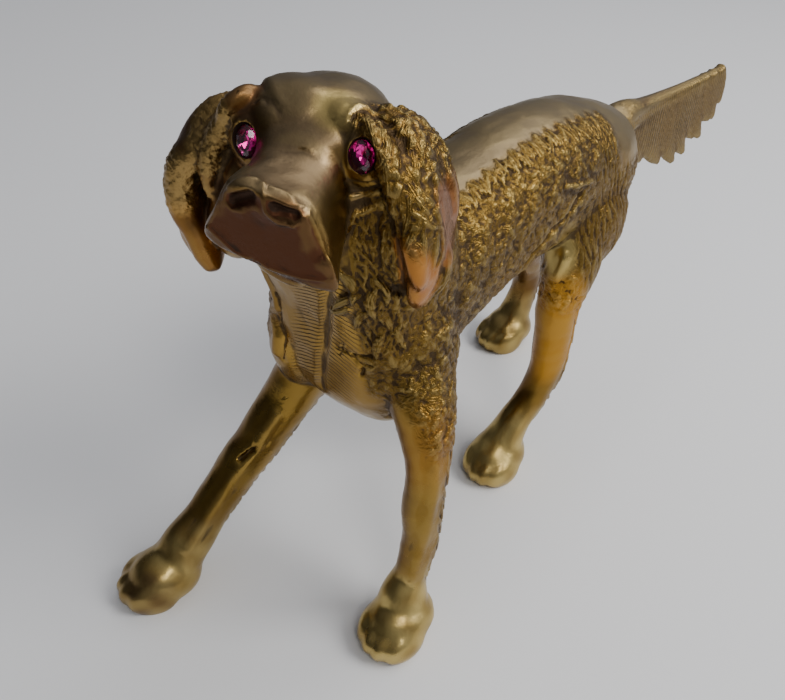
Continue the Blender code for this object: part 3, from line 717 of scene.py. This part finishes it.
# The cuts and ridges of the body, in parts, as those of the face.
BODY_MARKS = (
    # The breast: its middle groove, flaws of the casting, and the scallops beside it.
    ([(13, -97, 154), (11, -95.5, 144), (6, -92, 130), (2, -90, 115), (-3, -86, 94)], 3.2, -1.5),
    ([(9.5, -91, 119.5), (14.8, -89.5, 119.8), (21.1, -87.4, 121)], 0.9, -1.1),
    ([(14.8, -89.5, 119.2), (18.3, -88, 115), (17.2, -88, 111)], 1.2, -1.4),
    ([(18, -88.4, 117), (21.5, -87, 117.4)], 0.8, -0.9),
    ([(11.5, -91, 122.4), (10.2, -91, 117)], 0.8, -0.8),
    ([(-24.5, -89, 135), (-21.6, -90.5, 128), (-20, -91.6, 121), (-23.5, -89, 117)], 3.6, 1.4),
    ([(-23, -89, 114), (-20.2, -90.4, 108), (-21.4, -90, 101)], 3.6, 1.4),
    ([(-18.6, -91, 127), (-17.6, -91, 120), (-19, -90, 115.5), (-17.2, -90, 107), (-18.4, -89, 99)],
     1, -0.9),
    # The fold of the thigh and the bar of metal above it.
    ([(26, -8, 119), (25.5, -4, 123), (25.5, 5, 128), (25.6, 14, 132.5), (25.6, 21, 138)], 2.6, -1.6),
    ([(24.4, 10.5, 145.5), (24.6, 18, 143.2), (25.2, 26, 142.4)], 1.8, 1.3),
    ([(25, 7, 127), (25.5, 13, 120), (24, 19, 110), (21, 21, 100)], 3.4, 0.9),
    # The edges down the front legs, and a flaw.
    ([(41, -76, 92), (43, -78, 84), (44.6, -79.6, 74), (45.2, -82, 59), (44.4, -84.6, 43), (44, -87, 30)],
     3.6, 1),
    ([(-22, -92, 71), (-25, -103.3, 55.4), (-28, -113.4, 43.3), (-29.2, -125, 30), (-30, -133, 23)],
     4, 1.2),
    ([(-27.4, -106, 53.6), (-24.8, -101.6, 57.4)], 1.7, -2),
    ([(-26, -103.6, 56.6), (-23.9, -100.8, 58.6)], 1, -1.2),
)


# Heavy locks, given one by one: the root, its lie, and length, width and height, in parts.
TUFTS = (
    ((18.5, -93.5, 150.5), (0.6, -0.3, -0.7), (12, 6.5, 2.8)),
    ((16, -93.5, 144.5), (-0.75, -0.2, -0.6), (11, 6, 2.8)),
    ((22, -89, 144), (0.2, -0.2, -1), (11, 6, 2.4)),
    ((25, -86, 148), (0.4, 0.2, -1), (11, 5.5, 2.2)),
    ((24.5, -84.5, 136), (0.5, 0.2, -0.9), (10, 5.5, 2)),
    ((19, -90.5, 137), (-0.5, 0, -0.8), (9, 5, 2)),
    ((13.4, -93.5, 138), (-0.9, 0, -0.4), (8, 4.6, 1.8)),
    ((26.5, -80.5, 128), (0.2, 0.3, -1), (10, 5.5, 1.8)),
    ((22.5, -86, 126), (-0.3, 0.1, -1), (9, 5, 1.8)),
)


def nearest(points, spot):
    """The number of the surface's point that is nearest to a spot."""
    return int(((points - np.array(spot)) ** 2).sum(axis=1).argmin())


def laid_on(points, line):
    """A drawn line's points, each moved to the nearest point of the surface."""
    return [points[nearest(points, spot)] for spot in line]


def fringe_roots(points):
    """Points of the surface just outside the smooth back's edge."""
    tree = tree_of(points)
    chance = np.random.default_rng(FRINGE_SEED)
    spots = []
    for side in (-1, 1):
        for y in np.arange(*FRINGE_REACH, FRINGE.spacing):
            x = side * (back_edge(np.array(side), np.array(y)) + chance.uniform(2.8, 4.4))
            spots.append(tree.find((x, y, 158 - 0.12 * abs(y)))[1])
    return spots


def carve(body, roots, facing):
    """The full relief: locks, curls, strands, cuts and lumps, with what the finish needs kept on the points.

    Places are in parts, and the face's are in the head's own axes. Each layer of hair lies over the last.
    """
    points, normals = vertices(body.data)
    turn = np.array(head_place().to_3x3())
    on_face = (points - np.array(HEAD_AT)) @ turn
    x, y, z = points.T
    face_x, face_y, face_z = on_face.T
    sides = {"left": [], "right": []}
    for piece in ears():
        sides[piece.name.split("_")[0]].append(piece)
    left_ear, right_ear = (close_to(points, pieces, 2.2) for pieces in sides.values())
    on_tail = close_to(points, tail(), 2.0) * ramp(y, 84, 92)
    on_ears = np.maximum(left_ear, right_ear)

    # The coat: the CAD's locks and curls, then a fringe along the back's edge and strands on the haunches.
    bare = patch(points, (22, 18, 113), (0.7, 1, 0.62), 10, 4)
    rump = ramp(y, 46, 52) * ramp(z, 134, 142)
    coat = curly(points) * (1 - on_ears) * (1 - bare) * (1 - rump)
    crest, strand = locks_of_hair(points, roots, facing, COAT)
    curls, curl_turn = pebbles(points, coat, *CURLS)
    small, _ = pebbles(points, coat, *SMALL_CURLS)
    rise = 0.5 * (crest - 0.45) + 0.5 * (curls - 0.5) + 0.32 * (small - 0.5)
    rise = coat * (rise + 0.4 * waves(points, *COAT_WAVES))
    strand = np.where(curls > 0.25, curl_turn, strand)
    spots = fringe_roots(points)
    edge, edge_strand = locks_of_hair(points, points[spots], normals[spots], FRINGE)
    on_edge = ramp(edge, 0.02, 0.2) * ramp(54 - y, 0, 8)
    rise = rise * (1 - 0.75 * on_edge) + on_edge * 0.9 * (edge - 0.2)
    strand = np.where(on_edge > 0.3, edge_strand, strand)
    haunch = ramp(27 - np.hypot(y - 47, z - 112), 0, 8) * ramp(np.abs(x), 9, 15) * ramp(z, 84, 92)
    behind = ramp(y, 30, 38) * ramp(66 - y, 0, 8) * ramp(z, 118, 128) * ramp(np.abs(x), 12, 17)
    haunch = np.maximum(haunch, behind)
    haunch *= (1 - bare) * (1 - rump)
    long, long_strand = hair_layer(points, normals, haunch, HAUNCH)
    rise = rise * (1 - 0.6 * haunch) + haunch * 0.7 * (long - 0.35)
    strand = np.where(haunch > 0.4, long_strand, strand)
    back_of_leg = ramp(normals[:, 1] + 0.35 * np.abs(normals[:, 0]), 0.3, 0.7)
    back_of_leg = back_of_leg * ramp(z, 20, 28) * ramp(-z, -92, -84)
    feather, feather_strand = hair_layer(points, normals, back_of_leg, FEATHER)
    rise += back_of_leg * 1.1 * (feather - 0.3)
    strand = np.where(back_of_leg > 0.4, feather_strand, strand)

    # The ears: lumps above and long strands below on the left, stippled patches on the smooth right.
    lobe = patch(on_face, (30, -6, -30), (1, 0.7, 0.75), 10.5, 4)
    smooth_tip = np.maximum(lobe, ramp(-face_z, 25, 30) * ramp(-face_y, -3, 1))
    outer_lock = ramp(face_x, 34, 37) * ramp(-face_z, 4, 9) * ramp(face_y, -1, 4) * ramp(face_z, -32, -28)
    lumpy = left_ear * (1 - smooth_tip) * (1 - 0.8 * outer_lock)
    lumps, _ = pebbles(points, lumpy, *EAR_LUMPS)
    beads, _ = pebbles(points, on_ears, *EAR_BEADS)
    locks, lock_strand = hair_layer(points, normals, lumpy, EAR._replace(lies=turn @ np.array(EAR.lies)))
    upper = ramp(face_z, -22, -8)
    rise += lumpy * (upper * 0.8 * (lumps - 0.5) + (1 - 0.45 * upper) * (locks - 0.4) + 0.4 * (beads - 0.5))
    front_lock = patch(on_face, (-27.5, 0, 2), (1, 0.6, 0.7), 11, 3)
    side_patch = patch(on_face, (-40, -2, -14), (0.8, 0.5, 0.9), 11, 4)
    stippled = right_ear * np.maximum(front_lock, side_patch)
    rise += stippled * 0.55 * (beads - 0.45)
    strand = np.where(lumpy > 0.3, lock_strand, strand)
    cheek = ramp(face_x, 12.5, 16) * ramp(-face_z, 11, 15) * ramp(face_y, -9, -6)
    cheek = cheek * ramp(-y, 74, 80) * (1 - on_ears) * ramp(z, 118, 126)
    wisps, wisp_strand = hair_layer(points, normals, cheek, WISPS)
    rise += cheek * 0.8 * (wisps - 0.35)
    strand = np.where(cheek > 0.3, wisp_strand, strand)

    # Marks cut and raised along given lines.
    for line, width, height in FACE_MARKS:
        rise += height * near_line(on_face, laid_on(on_face, line), width)
    for line, width, height in BODY_MARKS:
        rise += height * near_line(points, laid_on(points, line), width)
    for k, (root, lies, (length, width, height)) in enumerate(TUFTS):
        at = [nearest(points, root)]
        tuft = Hair(length, width, 0, TUFT_SEED + k, lies, 0)
        lump, lump_strand = locks_of_hair(points, points[at], normals[at], tuft)
        rise += height * np.maximum(lump - 0.15, 0)
        strand = np.where(lump > 0.15, lump_strand, strand)
        cheek = np.maximum(cheek, ramp(lump, 0.1, 0.2))
    tail_strand = y + 0.16 * (z - 136) + 0.35 * waves(points, *TAIL_WAVES)
    rise += on_tail * 0.3 * np.cos(2 * math.pi * tail_strand / TAIL_PITCH) * ramp(143 - 0.02 * y - z, 0, 3)
    strand = np.where(on_tail > 0.1, tail_strand, strand)
    hairy = np.maximum.reduce([coat, on_edge, lumpy, cheek, haunch, back_of_leg])
    smooth = 1 - np.maximum(hairy, on_tail)
    rise += smooth * (0.2 * waves(points, *BROAD_WAVES) + 0.07 * waves(points, *SMALL_WAVES))
    moved = (points + normals * rise[:, None]) * PART
    body.data.vertices.foreach_set("co", moved.astype(np.float32).ravel())
    body.data.update()

    # What the finish reads: where the hair and the engraving are, and the share of each tone, among them
    # painted reflections, highlights and shade.
    beside = x - groove_x(z)
    left = ramp(beside, 1, 2) * ramp(-beside, -16, -9)
    right = ramp(-beside, 1, 2) * ramp(beside, -15, -9)
    front = ramp(-normals[:, 1], 0.45, 0.7) * ramp(z, 92, 96) * ramp(-z, -156, -150) * ramp(-y, 80, 84)
    keep(body, "hair", hairy, 0.8 * on_tail)
    keep(body, "strand", strand)
    keep(body, "engraved", front * (left + right) * (1 - hairy))
    keep(body, "hatch", z + 0.22 * np.abs(beside) + 0.012 * beside**2)
    keep(body, "stippled", stippled)
    # Painted reflections: a warm one on the ears, and warm and yellow ones, with highlights, on the
    # forehead, thigh, knee and breast.
    low_left = left_ear * np.maximum(smooth_tip, outer_lock)
    low_right = right_ear * np.maximum(0.5, 0.7 * stippled)
    forehead = patch(on_face, (9.5, 1, 13), (1, 1, 1), 9, 5) * (1 - on_ears)
    thigh = patch(points, (24, 22, 74), (1, 1, 0.5), 17, 6)
    knee = patch(points, (36, -76, 84), (1, 1, 0.6), 15, 9)
    breast = ramp(-normals[:, 1], 0.3, 0.6) * ramp(z, 90, 96) * ramp(-y, 80, 84)
    breast = breast * (1 - hairy) * ramp(158 - z, 0, 6)
    keep(body, "warm", low_left, low_right, 0.35 * forehead, 0.2 * thigh, 0.25 * knee)
    keep(body, "honey", 0.3 * forehead, thigh, 0.2 * knee, 0.5 * breast)
    # The paws, the haunch's bare patch, the breast, forehead and stippled patches get a painted highlight,
    # brighter on the paws' side toward the light.
    foot = ramp(-z, -36, -22) * (0.75 + 0.35 * waves(points, *PAW_WAVES))
    near_foot = foot * (0.5 + 0.25 * ramp(x, 0, 10))
    keep(body, "rub", near_foot, 0.7 * bare, 0.15 * breast, 0.8 * forehead, 0.35 * stippled)
    # Faces turned up take a painted sheen of the pale ceiling, partly a grey-tan patina.
    on_top = ramp(normals[:, 2], 0.15, 0.7) * ramp(z, 136, 146) * smooth
    keep(body, "tan", on_top, 0.45 * on_tail, 0.3 * foot)
    # Painted shade: the muzzle's front, the sides turned from the light, the far cheek, leg and ear and the
    # ear's outer lock; the bridge, tail and skull top are made darker.
    muzzle = ramp(-face_y, 21.5, 24.5) * ramp(-face_z, -2, 1.5) * ramp(normals @ turn[:, 1] * -1, 0.1, 0.5)
    far_side = ramp(-normals @ np.array((0.75, 0.66, 0)), 0.35, 0.95) * 0.55 * ramp(-z, -165, -120)
    bridge = 0.3 * ramp(-face_y, -2, 4) * ramp(face_z, -5, -1) * (1 - on_ears)
    far_cheek = 0.7 * ramp(-face_x, 4, 12) * ramp(-face_y, -12, -4)
    far_cheek = far_cheek * ramp(z, 160, 166) * ramp(9 - face_z, -6, 0)
    far_leg = 0.55 * ramp(y, 50, 60) * ramp(-x, 8, 18) * ramp(-z, -104, -90) * ramp(z, 8, 18)
    far_ear = 0.45 * right_ear * (1 - stippled)
    ear_edge = 0.5 * left_ear * outer_lock
    skull_top = 0.18 * ramp(z, 185, 190)
    dusk = (muzzle, far_side, bridge, far_cheek, far_leg, far_ear, ear_edge, 0.15 * on_tail, skull_top)
    keep(body, "dusk", *dusk)


def keep(body, name, *values):
    """The highest of the values at each point, kept for the finish to read."""
    layer = body.data.attributes.get(name) or body.data.attributes.new(name, "FLOAT", "POINT")
    layer.data.foreach_set("value", np.maximum.reduce(values).astype(np.float32))


def height_above(body, rounds):
    """How far each point lies above the surface smoothed round it, in parts."""
    points, facing = vertices(body.data)
    ends = np.empty(len(body.data.edges) * 2, np.int32)
    body.data.edges.foreach_get("vertices", ends)
    a, b = ends.reshape(-1, 2).T
    count = np.bincount(ends, minlength=len(points))[:, None]
    soft = points.copy()
    for _ in range(rounds):
        total = np.zeros_like(soft)
        for axis in range(3):
            onward = np.bincount(a, soft[b, axis], len(points))
            total[:, axis] = onward + np.bincount(b, soft[a, axis], len(points))
        soft = 0.3 * soft + 0.7 * total / count
    return ((points - soft) * facing).sum(axis=1)


def gem(name, side):
    """An oval stone cut with many facets, foiled behind.

    A ring is its height, its share of the width, its corners, and how far it is turned, in corners.
    """
    wide, tall = EYE_HALVES
    rings = [
        (EYE_CROWN, EYE_TABLE_SHARE, 8, 0.0),
        (0.66 * EYE_CROWN, 0.80, 8, 0.5),
        (GIRDLE, 1.0, 16, 0.0),
        (-GIRDLE, 1.0, 16, 0.0),
        (-0.6 * EYE_PAVILION, 0.55, 8, 0.5),
        (-EYE_PAVILION, 0.0, 1, 0.0),
    ]
    mesh = bmesh.new()
    for height, share, count, offset in rings:
        for k in range(count):
            angle = 2 * math.pi * (k + offset) / count
            mesh.verts.new((share * wide * math.cos(angle), share * tall * math.sin(angle), height))
    bmesh.ops.convex_hull(mesh, input=mesh.verts)
    for face in mesh.faces:
        face.material_index = 1 if face.calc_center_median().z < -1.1 * GIRDLE else 0
    stone = from_bmesh(name, mesh)
    stone.data.transform(eye_place(side))
    return stone


def seat(name, side):
    """The cutter of the dark seat round a stone."""
    wide, tall = (half + SEAT_GAP for half in EYE_HALVES)
    floor = (-EYE_PAVILION - SEAT_DEPTH, 0, 0)
    mouth = (SEAT_REACH, wide + SEAT_FLARE, tall + SEAT_FLARE)
    cutter = oval_spindle(name, [floor, (0, wide, tall), mouth], 2 * EYE_FACETS, side)
    cutter.matrix_world = eye_place(side) @ Matrix.Translation((side * SEAT_DRIFT[0], SEAT_DRIFT[1], 0))
    return cutter


def cut_seats(dog, lining):
    """Cut the seats of both stones, lined with their own dark finish, which is patina and painted shadow of
    the socket.
    """
    for name, side in (("left_seat", 1), ("right_seat", -1)):
        cutter = seat(name, side)
        cutter.data.materials.append(lining)
        cut = dog.modifiers.new(name, "BOOLEAN")
        cut.operation = "DIFFERENCE"
        cut.material_mode = "TRANSFER"
        cut.object = cutter
        settle(dog)
        bpy.data.objects.remove(cutter)


class Nodes:
    """A small hand for building the nodes of a material or a world."""

    def __init__(self, owner):
        owner.use_nodes = True
        self.owner = owner
        self.tree = owner.node_tree
        self.shader = self.tree.nodes.get("Principled BSDF") or self.tree.nodes["Background"]

    def add(self, kind, inputs=(), **settings):
        node = self.tree.nodes.new(kind)
        for key, value in settings.items():
            setattr(node, key, value)
        for key, value in dict(inputs).items():
            self.feed(node.inputs[key], value)
        return node

    def feed(self, socket, value):
        if isinstance(value, bpy.types.NodeSocket):
            self.tree.links.new(value, socket)
        else:
            socket.default_value = value

    def math(self, operation, *values):
        return self.add("ShaderNodeMath", enumerate(values), operation=operation).outputs[0]

    def times(self, first, second):
        return self.math("MULTIPLY", first, second)

    def plus(self, first, second):
        return self.math("ADD", first, second)

    def attribute(self, name):
        return self.add("ShaderNodeAttribute", attribute_name=name).outputs["Fac"]

    def spread(self, value, low, high, start=0.0, end=1.0):
        inputs = {"Value": value, "From Min": low, "From Max": high, "To Min": start, "To Max": end}
        return self.add("ShaderNodeMapRange", inputs, interpolation_type="SMOOTHSTEP").outputs[0]

    def noise(self, scale, detail, roughness):
        place = self.add("ShaderNodeTexCoord").outputs["Object"]
        inputs = {"Vector": place, "Scale": scale, "Detail": detail, "Roughness": roughness}
        return self.add("ShaderNodeTexNoise", inputs).outputs["Fac"]

    def mix(self, share, first, second):
        node = self.add("ShaderNodeMix", data_type="RGBA")
        colours = [socket for socket in node.inputs if socket.type == "RGBA"]
        self.feed(node.inputs[0], share)
        self.feed(colours[0], first)
        self.feed(colours[1], second)
        return [socket for socket in node.outputs if socket.type == "RGBA"][0]

    def shade(self, looks):
        for socket, value in looks.items():
            self.feed(self.shader.inputs[socket], value)
        return self.owner

    def bump(self, height, strength, distance, under=None):
        inputs = {"Height": height, "Strength": strength, "Distance": distance}
        node = self.add("ShaderNodeBump", inputs)
        if under:
            self.feed(node.inputs["Normal"], under)
        return node.outputs["Normal"]


def brass():
    """Cast brass: polished on the high places, partly a painted highlight, brown in the hollows, with
    painted reflections and shade, and strands and engraving cut in.
    """
    n = Nodes(bpy.data.materials.new("cast_brass"))
    hair = n.attribute("hair")
    relief = n.attribute("relief")
    form = n.attribute("form")
    cloud = n.noise(28, 4, 0.65)
    speck = n.noise(420, 3, 0.7)
    line = n.math("COSINE", n.times(n.attribute("hatch"), 2 * math.pi / HATCH_PITCH))
    cut = n.times(n.spread(line, 0.5, 0.95), n.attribute("engraved"))
    hair_gap = n.times(hair, 0.12)
    uneven = n.plus(0.06, n.times(hair, 0.3))
    worn = n.times(n.math("SUBTRACT", cloud, 0.5), uneven)
    hollow = n.spread(n.plus(relief, n.math("SUBTRACT", worn, hair_gap)), -0.10, -0.36)
    deep = n.spread(n.plus(form, worn), -0.75, -1.8, 0.0, 0.75)
    deep = n.times(deep, n.plus(0.3, n.times(hair, 0.7)))
    dirt = n.math("MAXIMUM", hollow, deep)
    dirt = n.times(dirt, n.spread(speck, 0.2, 0.75, 0.7, 1.0))
    dirt = n.math("MAXIMUM", dirt, n.times(cut, 0.95))
    metal = n.mix(n.spread(cloud, 0.35, 0.65), *GOLD)
    metal = n.mix(n.times(hair, n.spread(cloud, 0.3, 0.62, 0.95, 0.5)), metal, OLIVE)
    # Painted reflections in yellow and copper, a tan that is partly a painted sheen on faces turned up, and
    # painted shade.
    metal = n.mix(n.attribute("honey"), metal, HONEY_REFLECTION)
    metal = n.mix(n.attribute("tan"), metal, TAN_AND_TOP_SHEEN)
    metal = n.mix(n.times(n.attribute("warm"), 0.8), metal, COPPER_REFLECTION)
    metal = n.mix(n.attribute("dusk"), metal, PAINTED_SHADE)
    # The high places are lighter: rubbed metal, partly a painted highlight, with more painted highlight
    # where the rub is kept.
    polish_and_highlight = n.plus(0.08, n.times(hair, 0.12))
    crest = n.times(n.spread(relief, 0.10, 0.36), polish_and_highlight)
    metal = n.mix(n.math("MAXIMUM", crest, n.attribute("rub")), metal, RUBBED_AND_HIGHLIGHT)
    colour = n.mix(n.times(dirt, 0.88), metal, GRIME)
    rough = n.plus(n.spread(cloud, 0.3, 0.7, 0.24, 0.36), n.times(dirt, 0.22))
    rough = n.plus(rough, n.times(n.math("MAXIMUM", n.attribute("tan"), hair), 0.08))
    strands = n.math("SINE", n.times(n.attribute("strand"), 2 * math.pi / STRAND_PITCH))
    strands = n.times(strands, hair)
    grain = n.plus(0.22, n.math("MAXIMUM", hair, n.attribute("stippled")))
    normal = n.bump(n.noise(160, 4, 0.6), 0.22, 0.0006)
    normal = n.bump(n.times(speck, grain), 0.5, 0.0007, normal)
    normal = n.bump(strands, 0.4, 0.00016, normal)
    normal = n.bump(n.times(cut, -1.0), 0.9, 0.0004, normal)
    metallic = n.math("SUBTRACT", 1.0, n.times(dirt, 0.3))
    return n.shade({"Base Color": colour, "Metallic": metallic, "Roughness": rough, "Normal": normal})


def plain(name, colour, roughness, metallic=0.0, transmission=0.0, ior=1.5):
    looks = {"Base Color": colour, "Roughness": roughness, "Metallic": metallic, "IOR": ior}
    looks["Transmission Weight"] = transmission
    return Nodes(bpy.data.materials.new(name)).shade(looks)


def cast_dog():
    """The whole figure but its stones, in full relief."""
    coarse = fuse("coarse", forms(), CAST_VOXEL)
    points, facing = vertices(coarse.data)
    roots = scatter(points, curly(points), COAT.spacing, COAT.seed)
    bpy.data.objects.remove(coarse)
    dog = fuse("brass_dog", forms(), FINE_VOXEL)
    carve(dog, points[roots], facing[roots])
    dog.data.materials.clear()
    dog.data.materials.append(brass())
    thin = dog.modifiers.new("thin", "DECIMATE")
    thin.ratio = FINE_TRIANGLES / sum(len(face.vertices) - 2 for face in dog.data.polygons)
    settle(dog)
    stand_flat(dog)
    # The seats' lining is dark patina and painted shadow of the socket.
    cut_seats(dog, plain("seat_patina", PATINA_AND_SEAT_SHADOW, 0.6, 0.5))
    keep(dog, "relief", height_above(dog, RELIEF_ROUNDS))
    keep(dog, "form", height_above(dog, FORM_ROUNDS))
    dog.data.shade_smooth()
    return dog


def photo_camera(shift):
    """The camera where the photograph was taken from."""
    turn, drop, roll = (math.radians(a) for a in CAMERA_TURNS)
    back = Vector((math.sin(turn) * math.cos(drop), -math.cos(turn) * math.cos(drop), math.sin(drop)))
    right = (-back).cross(Vector((0, 0, 1))).normalized()
    down = (-back).cross(right)
    across = right * math.cos(roll) + down * math.sin(roll)
    downward = down * math.cos(roll) - right * math.sin(roll)
    place = Matrix((across, -downward, back)).transposed().to_4x4()
    place.translation = Vector(CAMERA_AT) + shift
    lens = bpy.data.cameras.new("photo_camera")
    lens.sensor_width = SENSOR
    lens.lens = FOCAL_PIXELS / PHOTO_WIDTH * SENSOR
    lens.clip_start = 0.01
    camera = placed(lens)
    camera.matrix_world = place
    bpy.context.scene.camera = camera


def softbox(name, place, size, power, colour):
    """A square area light that looks at the figure."""
    light = bpy.data.lights.new(name, "AREA")
    light.size = size
    light.energy = power
    light.color = colour
    box = placed(light)
    box.location = place
    box.rotation_euler = (Vector(LIGHTS_AIM) - Vector(place)).to_track_quat("-Z", "Y").to_euler()


def room_light():
    """A room that is brighter above and to the dog's left, and dim elsewhere."""
    n = Nodes(bpy.data.worlds.new("room"))
    way = n.add("ShaderNodeTexCoord").outputs["Generated"]
    dot = n.add("ShaderNodeVectorMath", operation="DOT_PRODUCT")
    n.feed(dot.inputs[0], way)
    n.feed(dot.inputs[1], ROOM_TOWARDS)
    glow = n.add("ShaderNodeMapRange", {"Value": dot.outputs["Value"], **ROOM_GLOW}).outputs[0]
    bpy.context.scene.world = n.shade({"Strength": glow, "Color": ROOM_COLOUR})


def studio():
    """A pale floor and soft light, mostly from above and the dog's left."""
    mesh = bmesh.new()
    bmesh.ops.create_grid(mesh, x_segments=1, y_segments=1, size=FLOOR_REACH)
    floor = from_bmesh("floor", mesh)
    floor.data.materials.append(plain("pale_floor", FLOOR, 0.9))
    room_light()
    for row in LIGHTS:
        softbox(*row)


def eye_shift():
    """How far the frame has the layout moved, read from the left eye."""
    wide, tall = EYE_HALVES
    table = (EYE_CROWN, EYE_TABLE_SHARE * wide, EYE_TABLE_SHARE * tall)
    stone = oval_spindle("laid_out_eye", [(-EYE_PAVILION, 0, 0), (0, wide, tall), table], EYE_FACETS, 1)
    corners = np.array([stone.matrix_world @ vertex.co for vertex in stone.data.vertices])
    bpy.data.objects.remove(stone)
    low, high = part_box("left_eye")
    return (Vector(low) + Vector(high)) / 2 - Vector((corners.min(axis=0) + corners.max(axis=0)) / 2)


def main():
    shift = eye_shift()
    photo_camera(shift)
    studio()
    dog = cast_dog()
    ruby = plain("ruby_glass", RUBY, 0.02, 0.0, 1.0, RUBY_IOR)
    foil = plain("ruby_foil", FOIL, 0.10, 1.0)
    stones = [gem("left_stone", 1), gem("right_stone", -1)]
    for stone in stones:
        stone.data.materials.append(ruby)
        stone.data.materials.append(foil)
    rows = ((dog, "dog", "brass"), (stones[0], "left_eye", "ruby"), (stones[1], "right_eye", "ruby"))
    for piece, node, slot in rows:
        piece.data.transform(Matrix.Translation(shift))
        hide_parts(node)
        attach(piece, "root")
    bpy.context.view_layer.update()


main()
